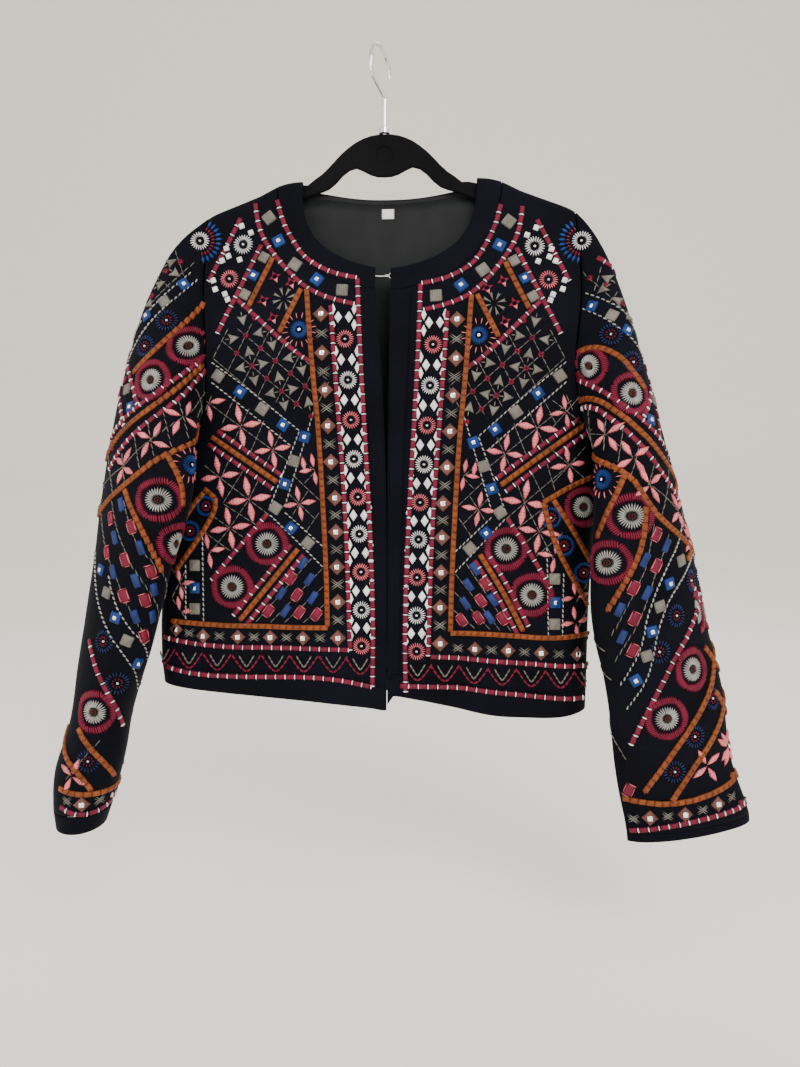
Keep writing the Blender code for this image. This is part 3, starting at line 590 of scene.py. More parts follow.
class Surface:
    """A stretch of cloth with a flat chart (across, up) in millimetres laid over it."""

    def __init__(self, pieces: list[bpy.types.Object], studio: Studio) -> None:
        """Gather the faces of the pieces."""
        verts, faces = [], []
        for piece in pieces:
            start = len(verts)
            verts.extend(v.co.copy() for v in piece.data.vertices)
            faces.extend([start + i for i in face.vertices] for face in piece.data.polygons)
        self.tree = BVHTree.FromPolygons(verts, faces)
        self.studio = studio

    def hit(self, start: Vector, way: Vector) -> tuple[Vector, Vector] | None:
        """Where a ray meets the cloth, and the way out of it there."""
        place, normal, _, _ = self.tree.ray_cast(start, way)
        if place is None:
            return None
        return place, (normal if normal.dot(way) < 0 else -normal)

    def pictured(self, across: float, down: float, plane: float) -> Vector:
        """The point of the cloth that shows at a place of the picture.

        Args:
            across: the place's distance from the picture's left edge.
            down: its distance from the top edge.
            plane: how far back the point is taken to be where no cloth shows.

        Returns:
            The point.
        """
        eye = self.studio.eye()
        way = self.studio.ray(across, down)
        met = self.hit(eye, way)
        if met is not None:
            return met[0]
        return eye + way * ((plane - eye.y) / way.y)

    def chart(self, across: float, down: float) -> Place:
        """The chart place of a place of the picture."""
        raise NotImplementedError

    def carry_on(self, places: Route) -> Route:
        """A route on the chart, carried on where it ends at an edge that turns away."""
        return places

    def find(self, a: float, b: float) -> Found | None:
        """The point, way out and way across at a chart place."""
        raise NotImplementedError


class Flat(Surface):
    """The body's front or back, charted straight on. A stitch over a seam rides on its edges."""

    STEPS = ((0.0, 0.0), (1.6, 0.0), (-1.6, 0.0), (0.0, 1.6), (0.0, -1.6))
    SEAM = 0.0012
    TURNED = 0.5
    PLANE = -0.022

    def __init__(self, pieces: list[bpy.types.Object], studio: Studio, front: bool) -> None:
        """Chart the pieces from the front or from behind."""
        super().__init__(pieces, studio)
        self.front = front

    def chart(self, across: float, down: float) -> Place:
        """The chart place of a place of the picture."""
        point = self.pictured(across, down, self.PLANE)
        return point.x / MM, point.z / MM

    def find(self, a: float, b: float) -> Found | None:
        """The point, way out and way across at a chart place."""
        way = 1.0 if self.front else -1.0
        best = None
        for step in self.STEPS:
            start = Vector(((a + step[0]) * MM, -0.3 * way, (b + step[1]) * MM))
            met = self.hit(start, Vector((0.0, way, 0.0)))
            if met is None or abs(met[1].y) < self.TURNED:
                continue
            if best is None or met[0].y * way < best[0].y * way - self.SEAM:
                best = met
        if best is None:
            return None
        point, normal = Vector((a * MM, best[0].y, b * MM)), best[1]
        across = Vector((1.0, 0.0, 0.0))
        return point, normal, (across - normal * across.dot(normal)).normalized()


class Tube(Surface):
    """A sleeve, charted round (across, by length on the cloth) and along (up)."""

    PLANE = -0.07
    PARTS = 48
    ROW = 0.002
    REACH = radians(115.0)
    START, NEAR = 0.06, 0.045
    HEAD_HIGH, HEAD_LOW = -0.25, -0.32
    BEYOND = 5.0
    EDGE = 0.7
    CARRY = 26.0

    def __init__(self, pieces: list[bpy.types.Object], studio: Studio, behind: bool) -> None:
        """Chart the pieces from their front, or mirrored on their back."""
        super().__init__(pieces, studio)
        self.behind = behind
        self.line = middle_line(pieces[0].data)
        self.outer = -1.0 if self.line.middle(-0.5)[0] < 0.0 else 1.0
        self.tables: dict[int, Route] = {}
        self.pictures: dict[int, Route] = {}

    def table(self, z: float) -> Route:
        """The chart's across for each angle round the sleeve at a height."""
        key = round(z / self.ROW)
        if key in self.tables:
            return self.tables[key]
        left, right, front, back = self.line.at(key * self.ROW)
        middle, wide, deep = (left + right) / 2.0, (right - left) / 2.0, (back - front) / 2.0
        blend = self.blend(z)
        made = []
        step = self.REACH / self.PARTS
        arc = 0.0
        for i in range(self.PARTS + 1):
            angle = i * step
            if i:
                half = angle - step / 2.0
                arc += step * sqrt((wide * cos(half)) ** 2 + (deep * sin(half)) ** 2)
            straight = wide * sin(min(angle, pi / 2)) + max(0.0, angle - pi / 2) * 0.02
            made.append((angle, (blend * arc + (1.0 - blend) * straight) / MM))
        turned = [(-angle, -across) for angle, across in made[:0:-1]] + made
        self.tables[key] = [(angle, across + middle / MM) for angle, across in turned]
        return self.tables[key]

    def blend(self, z: float) -> float:
        """One where the sleeve is a tube, none at its head, and between them a soft change."""
        return part_way(z, self.HEAD_HIGH, self.HEAD_LOW)

    def chart(self, across: float, down: float) -> Place:
        """The chart place of a place of the picture."""
        point = self.pictured(across, down, self.PLANE)
        seen = self.seen(point.z)
        if len(seen) < 2:
            left, right, _, _ = self.line.at(point.z)
            part = (point.x - (left + right) / 2.0) / ((right - left) / 2.0)
            angle = asin(min(1.0, max(-1.0, part)))
            return read_table(self.table(point.z), angle, 0), point.z / MM
        a = read_table(seen, across, 1)
        return min(max(a, seen[0][0] - self.BEYOND), seen[-1][0] + self.BEYOND), point.z / MM

    def seen(self, z: float) -> Route:
        """How far across the picture each chart place shows at a height, from edge to edge."""
        key = round(z / self.ROW)
        if key in self.pictures:
            return self.pictures[key]
        found = []
        for _, a in self.table(z)[::3]:
            spot = self.round_at(a, z, -1.0)
            if spot is not None:
                found.append((a, self.studio.across(spot[0])))
        low = high = len(found) // 2
        while low > 0 and found[low - 1][1] < found[low][1] - 0.15:
            low -= 1
        while high < len(found) - 1 and found[high + 1][1] > found[high][1] + 0.15:
            high += 1
        self.pictures[key] = found[low:high + 1]
        return self.pictures[key]

    def carry_on(self, places: Route) -> Route:
        """A route on the chart, carried on round the sleeve where it ends near its edge."""
        made = list(places)
        for end, before, where in ((0, 1, 0), (-1, -2, len(places) + 1)):
            (a, b), (a0, b0) = places[end], places[before]
            angle = read_table(self.table(b * MM), a, 1)
            long = max(sqrt((a - a0) ** 2 + (b - b0) ** 2), 1e-6)
            if angle * self.outer > self.EDGE and (a - a0) * angle > 0 and abs(a - a0) > 0.5 * long:
                made.insert(where, (a + (a - a0) / long * self.CARRY, b + (b - b0) / long * self.CARRY))
        return made

    def find(self, a: float, b: float) -> Found | None:
        """The point, way out and way across at a chart place."""
        return self.round_at(a, b * MM, 1.0 if self.behind else -1.0)

    def round_at(self, a: float, z: float, facing: float) -> Found | None:
        """The same on the front (facing -1) or the back (facing 1) of the sleeve."""
        table = self.table(z)
        if not table[0][1] < a < table[-1][1]:
            return None
        angle = read_table(table, a, 1)
        left, right, front, back = self.line.at(z)
        wide, deep = (right - left) / 2.0, (back - front) / 2.0
        blend = self.blend(z)
        out = Vector((sin(angle) / wide, facing * cos(angle) / deep, 0.0)).normalized() * blend
        out = (out + Vector((0.0, facing * (1.0 - blend), 0.0))).normalized()
        x = (left + right) / 2.0 + wide * sin(angle)
        on = Vector((x, (front + back) / 2.0 + facing * deep * cos(angle), z))
        met = self.hit(on + out * self.START, -out)
        if met is None or (met[0] - on).length > self.NEAR:
            return None
        point, normal = met
        across = Vector((cos(angle), -facing * sin(angle), 0.0))
        across = across - normal * across.dot(normal)
        return point, normal, across.normalized()


def read_table(table: Route, value: float, column: int) -> float:
    """Read a rising two-column table by one column, and give the other."""
    low, high = 0, len(table) - 1
    while high - low > 1:
        middle = (low + high) // 2
        if table[middle][column] <= value:
            low = middle
        else:
            high = middle
    first, last = table[low], table[high]
    part = (value - first[column]) / max(last[column] - first[column], 1e-9)
    return first[1 - column] + (last[1 - column] - first[1 - column]) * part


@dataclass
class Spot:
    """One stitch: where it is, how it is turned and its size in millimetres."""

    point: Vector
    turn: tuple[float, float, float]
    size: Size


@dataclass
class Workbasket:
    """Collects the stitches of each region by thread and form, and turns them into pieces."""

    spots: dict[tuple[str, str, Form], list[Spot]] = field(default_factory=lambda: defaultdict(list))
    region: str = "front"

    def set(
        self,
        surface: Surface,
        form: Form,
        thread: Thread | None,
        place: Place,
        angle: float,
        size: Size,
    ) -> None:
        """Set one stitch on the cloth.

        Args:
            surface: the cloth and its chart.
            form: the stitch's form.
            thread: its thread, or none for a mirror.
            place: its middle on the chart.
            angle: the way that it runs on the chart.
            size: its length, width and height in millimetres.
        """
        found = surface.find(*place)
        if found is None:
            return
        point, normal, across = found
        up = normal.cross(across)
        if up.z < 0:
            up = -up
        run = across * cos(angle) + up * sin(angle)
        side = normal.cross(run)
        turn = Matrix((run, side, normal)).transposed().to_euler()
        name = thread.value[0] if thread else "mirror_glass"
        spot = Spot(point - normal * SUNK * MM, tuple(turn), size)
        self.spots[(self.region, name, form)].append(spot)


PICTURE_MM = 0.96
SUNK = 0.12
LADDER_PITCH = 9.1
LADDER_WIDE = 4.5
COUCH_PITCH = 6.6
COUCH_WIDE = 5.0
ROPE_PITCH = 4.9
LINE_PITCH = 7.0


class Needle:
    """Draws lines and motifs on one surface, in stitches."""

    MIRROR_SUM = 778.0
    SIDE = (298.0, 198.0)
    LOW = (430.0, 650.0)

    def __init__(self, surface: Surface, basket: Workbasket, mirror: bool = False) -> None:
        """Work on a surface, mirrored left to right where asked."""
        self.surface = surface
        self.basket = basket
        self.mirror = mirror

    def at(self, place: Place) -> Place:
        """Turn a place of the picture into a place of the chart."""
        across, down = place
        if self.mirror:
            side = part_way(across, *self.SIDE)
            low = part_way(down, *self.LOW)
            across = self.MIRROR_SUM - across - min(16.0, 30.0 * side * low)
            down += 5.5 * (1.0 - side) + side * (21.5 * low * low - 1.5)
        return self.surface.chart(across, down)

    def walk(self, route: Route, pitch: float, soft: bool = True) -> Iterator[Step]:
        """Even steps along a route.

        Args:
            route: the places of the picture that it bends at.
            pitch: about how far apart the steps are, in millimetres.
            soft: whether its bends are rounded.

        Returns:
            The chart places of the steps, each with the way that the route runs there.
        """
        places = [self.at(place) for place in route]
        if soft and len(places) > 2:
            for _ in range(2):
                places = round_corners(places)
        yield from even_steps(self.surface.carry_on(places), pitch)

    def put(self, form: Form, thread: Thread | None, place: Place, angle: float, size: Size) -> None:
        """Set a stitch at a chart place."""
        self.basket.set(self.surface, form, thread, place, angle, size)

    def ladder(self, route: Route) -> None:
        """A crimson satin line with white bars across it."""
        self.rungs(self.walk(route, LADDER_PITCH))

    def rungs(self, steps: Iterator[Step]) -> None:
        """The blocks of a ladder line, each with the white bar after it."""
        for a, b, way in steps:
            self.put(Form.BLOCK, Thread.CRIMSON, (a, b), way, (LADDER_PITCH - 1.6, LADDER_WIDE, 1.2))
            bar = (a + cos(way) * LADDER_PITCH / 2, b + sin(way) * LADDER_PITCH / 2)
            self.put(Form.STITCH, Thread.WHITE, bar, way + pi / 2, (LADDER_WIDE + 1.4, 1.55, 1.7))

    def couch(self, route: Route) -> None:
        """A thick orange line tied down with rust stitches."""
        for a, b, way in self.walk(route, COUCH_PITCH):
            self.put(Form.BLOCK, Thread.ORANGE, (a, b), way, (COUCH_PITCH + 0.7, COUCH_WIDE, 1.8))
            tie = (a + cos(way) * COUCH_PITCH / 2, b + sin(way) * COUCH_PITCH / 2)
            self.put(Form.STITCH, Thread.RUST, tie, way + 1.0, (COUCH_WIDE * 1.05, 1.9, 2.1))

    def rope(self, route: Route) -> None:
        """A thin white cord of slanting twists."""
        for a, b, way in self.walk(route, ROPE_PITCH):
            self.put(Form.STITCH, Thread.PALE, (a, b), way + 0.16, (4.9, 1.5, 1.2))

    def line(self, route: Route, thread: Thread = Thread.GREY, wide: float = 1.0) -> None:
        """A thin laid thread."""
        for a, b, way in self.walk(route, LINE_PITCH, False):
            self.put(Form.STITCH, thread, (a, b), way, (LINE_PITCH + 1.6, wide, 0.9))

    def triple(self, route: Route, apart: float = 8.0) -> None:
        """A couched line between two ladder lines."""
        self.couch(route)
        for side in (-1.0, 1.0):
            self.ladder(beside(route, side * apart))

    def spokes(
        self,
        middle: Place,
        count: int,
        thread: Thread,
        reach: float,
        size: Size,
        start: float = 0.0,
        lean: float = 0.0,
    ) -> None:
        """Set stitches evenly round a chart place.

        Args:
            middle: the place that they stand round.
            count: how many there are.
            thread: their thread.
            reach: how far their middles are from it.
            size: the size of each.
            start: the angle of the first.
            lean: how far each is turned from pointing straight out.
        """
        for i in range(count):
            turn = start + 2.0 * pi * i / count
            spot = (middle[0] + cos(turn) * reach, middle[1] + sin(turn) * reach)
            self.put(Form.STITCH, thread, spot, turn + lean, size)

    def wheel(self, place: Place, radius: float, thread: Thread) -> None:
        """A small wheel of spokes round a bead."""
        middle = self.at(place)
        self.spokes(middle, 22, thread, radius * 0.68, (radius * 0.64, 1.1, 1.2))
        self.put(Form.BEAD, Thread.WHITE, middle, 0.0, (2.6, 2.0, 1.8))

    def wheel_column(self, places: tuple[Place, ...]) -> None:
        """Wheels, pink and white by turns, with a pair of diamonds between each two."""
        for i, place in enumerate(places):
            self.wheel(place, 9.0, Thread.WHITE if i % 2 else Thread.PINK)
        for first, last in zip(places, places[1:]):
            self.diamonds(between(first, last))

    def gem_column(self, places: tuple[Place, ...]) -> None:
        """Gems with a cross between each two."""
        for place in places:
            self.gem(place)
        for first, last in zip(places, places[1:]):
            self.cross(between(first, last))

    def rosette(self, place: Place, radius: float = 21.5) -> None:
        """A big crimson ring with a squarish inside, round a grey wheel with a brown middle."""
        a, b = self.at(place)
        for i in range(60):
            turn = 2.0 * pi * i / 60
            side = (turn - 0.3 + pi / 4) % (pi / 2) - pi / 4
            inner = radius * (0.60 + 0.08 * (abs(side) / (pi / 4)) ** 3)
            outer = radius * (1.0 + 0.02 * cos(5.0 * turn))
            reach = (inner + outer) / 2.0
            spot = (a + cos(turn) * reach, b + sin(turn) * reach)
            self.put(Form.STITCH, Thread.CRIMSON, spot, turn - side * 0.5, (outer - inner + 0.8, 2.2, 1.5))
        self.spokes((a, b), 28, Thread.PALE, radius * 0.355, (radius * 0.42, 1.45, 1.4))
        self.spokes((a, b), 9, Thread.BROWN, radius * 0.11, (radius * 0.14, 1.5, 1.5), lean=0.6)
        self.put(Form.BEAD, Thread.CRIMSON, (a, b), 0.0, (1.8, 1.8, 1.9))

    def sunflower(self, place: Place, radius: float = 17.0) -> None:
        """A blue wheel with pink rays and a small mirror."""
        middle = self.at(place)
        self.spokes(middle, 26, Thread.BLUE, radius * 0.34, (radius * 0.44, 1.5, 1.4))
        self.spokes(middle, 16, Thread.PINK, radius * 0.8, (radius * 0.42, 1.0, 1.0), start=pi / 16)
        self.put(Form.MIRROR, None, middle, 0.3, (2.6, 2.6, 1.9))

    def starlet(self, place: Place, radius: float = 11.5) -> None:
        """A small navy rayed wheel with a pink middle."""
        middle = self.at(place)
        self.spokes(middle, 20, Thread.NAVY, radius * 0.74, (radius * 0.46, 1.3, 1.1))
        self.spokes(middle, 10, Thread.CRIMSON, radius * 0.34, (radius * 0.24, 1.1, 1.0))
        self.put(Form.BEAD, Thread.WHITE, middle, 0.0, (2.2, 2.2, 1.5))

    def ring(self, place: Place, radius: float = 10.5) -> None:
        """A blue ring with crimson spokes inside."""
        middle = self.at(place)
        self.spokes(middle, 26, Thread.BLUE, radius * 0.8, (radius * 0.4, 2.0, 1.5), lean=0.3)
        self.spokes(middle, 12, Thread.CRIMSON, radius * 0.36, (radius * 0.34, 1.3, 1.2))
        self.put(Form.BEAD, Thread.WHITE, middle, 0.0, (2.0, 2.0, 1.6))

    def square(self, place: Place, thread: Thread, size: float = 11.5, angle: float = 0.0) -> None:
        """A satin square, with a small mirror on a blue one."""
        a, b = self.at(place)
        angle = -angle if self.mirror else angle
        self.put(Form.BLOCK, thread, (a, b), angle, (size, size, 1.6))
        if thread is Thread.BLUE:
            self.put(Form.MIRROR, None, (a, b), angle, (3.6, 3.6, 2.4))

    def gem(self, place: Place, size: float = 11.5) -> None:
        """A copper diamond round a bright square mirror."""
        middle = self.at(place)
        self.put(Form.BLOCK, Thread.COPPER, middle, pi / 4, (size, size, 1.6))
        self.spokes(middle, 4, Thread.COPPER, size * 0.52, (size * 0.4, 1.8, 1.7))
        self.put(Form.MIRROR, None, middle, 0.0, (4.6, 4.6, 2.4))

    def cross(self, place: Place, size: float = 12.5, thread: Thread = Thread.GREY) -> None:
        """Two laid stitches that cross, doubled."""
        a, b = self.at(place)
        for slope in (0.62, -0.62):
            for step in (-0.9, 0.9):
                spot = (a - sin(slope) * step, b + cos(slope) * step)
                self.put(Form.STITCH, thread, spot, slope, (size * 1.35, 1.3, 1.1))

    def diamonds(self, place: Place, gap: float = 5.0) -> None:
        """A pair of upright white diamonds, and half ones at the ladders above and below."""
        a, b = self.at(place)
        for side in (-1.0, 1.0):
            self.put(Form.DIAMOND, Thread.WHITE, (a + side * gap, b), pi / 2, (11.6, 7.8, 1.2))
            for rise in (-1.0, 1.0):
                spot = (a + side * gap * 1.98, b + rise * 7.4)
                self.put(Form.DIAMOND, Thread.WHITE, spot, pi / 2, (12.0, 5.4, 1.0))

    def flower(self, place: Place, size: float = 19.0, turned: float = 0.16, petals: str = "ruld") -> None:
        """Four pink petals round a crossing, or those of them that are named by their side."""
        a, b = self.at(place)
        for i, side in enumerate("ruld"):
            if self.mirror:
                side = {"r": "l", "l": "r"}.get(side, side)
            if side not in petals:
                continue
            turn = (-turned if self.mirror else turned) + pi / 2 * i
            reach = size * (0.58 if i % 2 else 0.55)
            spot = (a + cos(turn) * reach, b + sin(turn) * reach)
            self.put(Form.LEAF, Thread.PINK, spot, turn, (size, size * 0.36, 1.6))

    def brick(self, place: Place, angle: float, edged: bool, size: tuple = (11.0, 7.0)) -> None:
        """A satin rectangle: blue, or crimson with a pink outline."""
        a, b = self.at(place)
        angle = pi - angle if self.mirror else angle
        thread = Thread.CRIMSON if edged else Thread.INDIGO
        self.put(Form.BLOCK, thread, (a, b), angle, (size[0], size[1], 1.5))
        if not edged:
            return
        for turn, off, long in (
            (angle, size[1] / 2, size[0]),
            (angle, -size[1] / 2, size[0]),
            (angle + pi / 2, size[0] / 2, size[1]),
            (angle + pi / 2, -size[0] / 2, size[1]),
        ):
            spot = (a - sin(turn) * off, b + cos(turn) * off)
            self.put(Form.STITCH, Thread.PINK, spot, turn, (long + 1.0, 0.75, 1.5))

    def arrow(self, place: Place, angle: float) -> None:
        """A grey arrowhead at a place of the picture."""
        self.put_arrow(self.at(place), pi - angle if self.mirror else angle)

    def put_arrow(self, place: Place, angle: float) -> None:
        """A grey stemmed arrowhead at a chart place."""
        a, b = place
        self.put(Form.WEDGE, Thread.GREY, (a, b), angle, (11.0, 11.0, 1.4))
        stem = (a - cos(angle) * 6.4, b - sin(angle) * 6.4)
        self.put(Form.STITCH, Thread.GREY, stem, angle, (6.0, 1.3, 1.2))

    def knot(self, place: Place) -> None:
        """A crimson knot where lattice lines cross."""
        a, b = self.at(place)
        for i in range(4):
            turn = pi / 4 * i + 0.2
            self.put(Form.STITCH, Thread.CRIMSON, (a, b), turn, (7.6, 2.6, 1.5))

    def scallop(self, place: Place) -> None:
        """A crimson V with a soft foot, and a grey V inside it."""
        a, b = self.at(place)
        for thread, wide, bends in (
            (Thread.CRIMSON, 2.4, ((13.5, 0.0), (10.6, -4.4), (7.4, -9.0), (4.0, -13.2), (0.0, -15.6))),
            (Thread.GREY, 1.8, ((7.0, -0.6), (4.8, -4.4), (2.5, -8.2), (0.0, -11.4))),
        ):
            for side in (-1.0, 1.0):
                for (x0, y0), (x1, y1) in zip(bends, bends[1:]):
                    middle = (a + side * (x0 + x1) / 2, b + (y0 + y1) / 2)
                    long = sqrt((x1 - x0) ** 2 + (y1 - y0) ** 2)
                    angle = atan2(y1 - y0, side * (x1 - x0))
                    self.put(Form.STITCH, thread, middle, angle, (long + 1.5, wide, 1.4))

    def shards(self, place: Place, size: float = 5.5) -> None:
        """A cluster of small crimson triangles round a pink one."""
        a, b = self.at(place)
        for i, thread in enumerate((Thread.CRIMSON, Thread.CRIMSON, Thread.CRIMSON, Thread.PINK)):
            turn = pi / 2 * i + 0.4
            spot = (a + cos(turn) * size * 0.7, b + sin(turn) * size * 0.7)
            self.put(Form.WEDGE, thread, spot, turn, (size, size * 0.9, 1.3))

    def pinwheel(self, place: Place, radius: float = 12.0) -> None:
        """Eight grey wedges that meet in the middle."""
        a, b = self.at(place)
        for i in range(8):
            turn = pi / 4 * i + 0.3
            spot = (a + cos(turn) * radius * 0.58, b + sin(turn) * radius * 0.58)
            self.put(Form.WEDGE, Thread.GREY, spot, turn + pi, (radius * 0.8, 3.4, 1.4))


def round_corners(places: Route) -> Route:
    """Cut the corners of a route once."""
    made = [places[0]]
    for (x0, y0), (x1, y1) in zip(places, places[1:]):
        made.append((x0 * 0.75 + x1 * 0.25, y0 * 0.75 + y1 * 0.25))
        made.append((x0 * 0.25 + x1 * 0.75, y0 * 0.25 + y1 * 0.75))
    made.append(places[-1])
    return made


def even_steps(places: Route, pitch: float) -> Iterator[Step]:
    """Places spaced evenly along a route, each with its way."""
    lengths = [sqrt((x1 - x0) ** 2 + (y1 - y0) ** 2) for (x0, y0), (x1, y1) in zip(places, places[1:])]
    total = sum(lengths)
    count = max(1, round(total / pitch))
    at, gone = 0, 0.0
    for i in range(count):
        want = (i + 0.5) * total / count
        while at < len(lengths) - 1 and gone + lengths[at] < want:
            gone += lengths[at]
            at += 1
        (x0, y0), (x1, y1) = places[at], places[at + 1]
        part = (want - gone) / max(lengths[at], 1e-6)
        yield x0 + (x1 - x0) * part, y0 + (y1 - y0) * part, atan2(y1 - y0, x1 - x0)


def beside(route: Route, off: float) -> Route:
    """A route moved sideways."""
    made = []
    for i, (x, y) in enumerate(route):
        before = route[max(i - 1, 0)]
        after = route[min(i + 1, len(route) - 1)]
        dx, dy = after[0] - before[0], after[1] - before[1]
        long = max(sqrt(dx * dx + dy * dy), 1e-6)
        made.append((x - dy / long * off, y + dx / long * off))
    return made


# The front's embroidery, charted for the left side of the picture and mirrored for the right.
PLACKET_INNER = [
    (357.4, 277), (359.5, 340), (362.8, 400), (367.3, 478), (371, 550), (373.2, 624.7), (372.4, 686),
]
PLACKET_OUTER = [
    (330.5, 304), (335, 370), (339.5, 430), (344, 490), (347, 550), (348.8, 609.7), (350, 650),
]
YOKE_UPPER = [
    (276.8, 199), (283.7, 224.8), (300, 252.3), (311, 262), (327, 270.5), (344, 275.5), (356, 277.6),
]
YOKE_LOWER = [
    (255.3, 202.4), (257.9, 223), (264, 240.3), (277.7, 259.2), (292.6, 276), (308, 289), (329, 298),
    (354, 304),
]
YOKE_SQUARES = ((342, 290, 0), (317, 279.5, 1), (295, 264.4, 0), (278.6, 241, 1), (269, 217.9, 0))
FRAME_LINE = [(306.5, 289), (312.5, 370), (318.5, 430), (323, 504.8), (326.6, 579.7), (327.5, 626)]
FRAME_FOOT = [(327.5, 627.7), (290, 627.6), (258.4, 626), (215, 625), (172, 620.7)]
WHEELS = (
    (345, 339), (348, 380), (351, 420), (354, 459), (358, 497), (359.5, 534), (361, 572), (361.5, 610),
    (361.5, 646),
)
GEMS = (
    (321, 314), (322, 353), (325, 390), (328, 426), (331, 462), (335, 498), (336, 532), (337, 567),
    (338, 602), (338, 638),
)
HEM_UPPER = [(163, 635.9), (215, 646.7), (280, 647.8), (348.4, 650)]
HEM_LOWER = [(163, 667.3), (199.9, 674.9), (247.6, 677), (301.8, 677), (334.3, 679.2), (371.2, 686.8)]
HEM_GEMS = ((176, 629.3), (203, 635.9), (237.8, 637), (270.3, 637.4), (302.9, 638))
HEM_CROSSES = ((189, 633), (219.4, 636), (254, 637), (286.6, 637.4), (320, 638))
SCALLOPS = (
    (161, 649), (189, 652), (217.2, 654), (246.5, 655), (275.8, 655), (303.9, 655.5), (333.2, 656),
    (360.3, 658),
)
SHOULDER_LADDERS = (
    [(241.5, 217), (208.8, 281.6)], [(262.2, 243.7), (217.4, 333.3)], [(236.4, 298.8), (296.6, 354),
    (312, 362)],
)
SHOULDER_SQUARES = (
    (241.8, 226.3), (228.6, 256.3), (239.8, 259.9), (215.3, 289.5), (225, 294.1), (222.4, 260.9),
    (213.3, 280.8), (227.6, 299.7), (226.5, 248.7), (251, 233),
)
STRIP_SQUARES = ((264, 257.5, 0), (253.6, 275.6, 1), (245, 294.5, 0))
ORANGE_STRIPS = ([(273, 258), (249, 306)], [(301, 289), (279.5, 332)])
KNOT_START, KNOT_RIGHT, KNOT_DOWN = (245.8, 335.8), (14.9, 12.6), (-8.9, 17.6)
KNOTS = (
    (0, 0), (1, 0), (2, 0), (3, 0), (4, 0), (0, 1), (1, 1), (2, 1), (3, 1), (4, 1), (0, -1), (5, 1),
)
ARROW_CELLS = (
    (0, -1), (1, -1), (2, -1), (3, -1), (-1, 0), (0, 0), (1, 0), (2, 0), (3, 0), (0, 1), (1, 1), (2, 1),
    (3, 1), (-1, -1), (4, 0),
)
BAND_ROPES = (
    [(211, 362), (243.2, 385), (299.6, 431)], [(211, 382), (245, 409), (291, 446)], [(313.7, 411.4),
    (284.4, 508)], [(299.6, 431), (269.3, 508)], [(284.4, 512), (323.5, 547)], [(269.3, 514.4),
    (323.5, 567.6)],
)
BAND_SQUARES = (
    (218, 376, 0, 0.6), (240, 392, 1, 0.6), (262, 409, 0, 0.6), (283, 425, 1, 0.6),
    (304.5, 437, 1, 0.3), (294, 461, 0, 0.3), (285, 484, 1, 0.3), (275.5, 508, 0, 0.6),
    (291, 528, 1, 0.7), (308, 543, 0, 0.7),
)
FLOWERS = (
    (240.5, 426, 19.5, "ruld"), (272.4, 449.4, 17.5, "ruld"), (208, 403, 17, "rd"), (305, 473, 15, "u"),
    (219, 476.5, 19, "ruld"), (249, 499.4, 21, "ruld"), (229.6, 528, 19.5, "ruld"),
    (208.5, 551, 16, "rud"), (299.3, 503.6, 16, "ruld"), (314, 469.4, 14.5, "uld"),
    (180, 584, 15, "urd"), (180, 612, 15, "ru"),
)
LATTICE = (
    [(206, 401), (290, 463)], [(236, 395), (222, 424)], [(249.5, 408), (232, 445)], [(264.2, 420.4),
    (249.5, 454.4)], [(281, 433), (264, 468)], [(212, 395), (205, 412)], [(204, 465), (269.4, 515.2)],
    [(223, 503.5), (257, 525.4)], [(211.7, 515.2), (243.9, 537.7)], [(202, 530), (230.6, 551)],
    [(228.6, 461), (216.3, 489.7)], [(243.4, 470.3), (223, 503.5)], [(258.2, 480.5), (249, 499.4),
    (229.6, 528), (208, 556)], [(301, 460.2), (315.8, 471.2)], [(292.6, 474.9), (320, 500.5)],
    [(287.7, 492.6), (315.8, 519.6)], [(315.8, 471.2), (303.6, 484)], [(308.5, 490.2), (292.6, 514.7)],
    [(319.5, 512.2), (306, 531.8)], [(172, 568), (186, 592)], [(186, 570), (172, 598)], [(172, 598),
    (186, 618)],
)
BODY_TRIPLES = ([(211.8, 437), (244, 459), (277, 482)], [(298, 549), (268, 586), (240, 620)])
BODY_LADDER = [(268, 513), (240, 546), (211.8, 579.5)]
BODY_ROSETTES = ((267, 544), (232, 587))
BRICKS = (
    (302.9, 563.2, 0), (309.4, 579.5, 0), (281.2, 593.6, 0), (312.6, 597.8, 0), (285.5, 610.9, 0),
    (291, 578.4, 1), (297, 595, 1), (268.5, 610.9, 1), (299.5, 612.4, 1), (316.5, 614.5, 1),
)
BRICK_LINES = (
    [(256, 622), (312, 558)], [(270, 623), (323, 568)], [(284, 623), (324, 586)], [(303, 623),
    (325, 604)],
)
SIDE_ROPES = ([(185.8, 564), (185.8, 620)], [(202.7, 536), (203.6, 622)])
SIDE_SQUARES = ((194.6, 565.4, 0), (194.6, 588, 1), (194.6, 608.8, 0))
RING_STRIP = (
    [(204, 488.4), (219.4, 501.4), (204, 531.8), (176, 570.8)], [(204, 492.7), (191.2, 508),
    (180.4, 527.4)],
)
RINGS = ((206, 506), (190, 531))

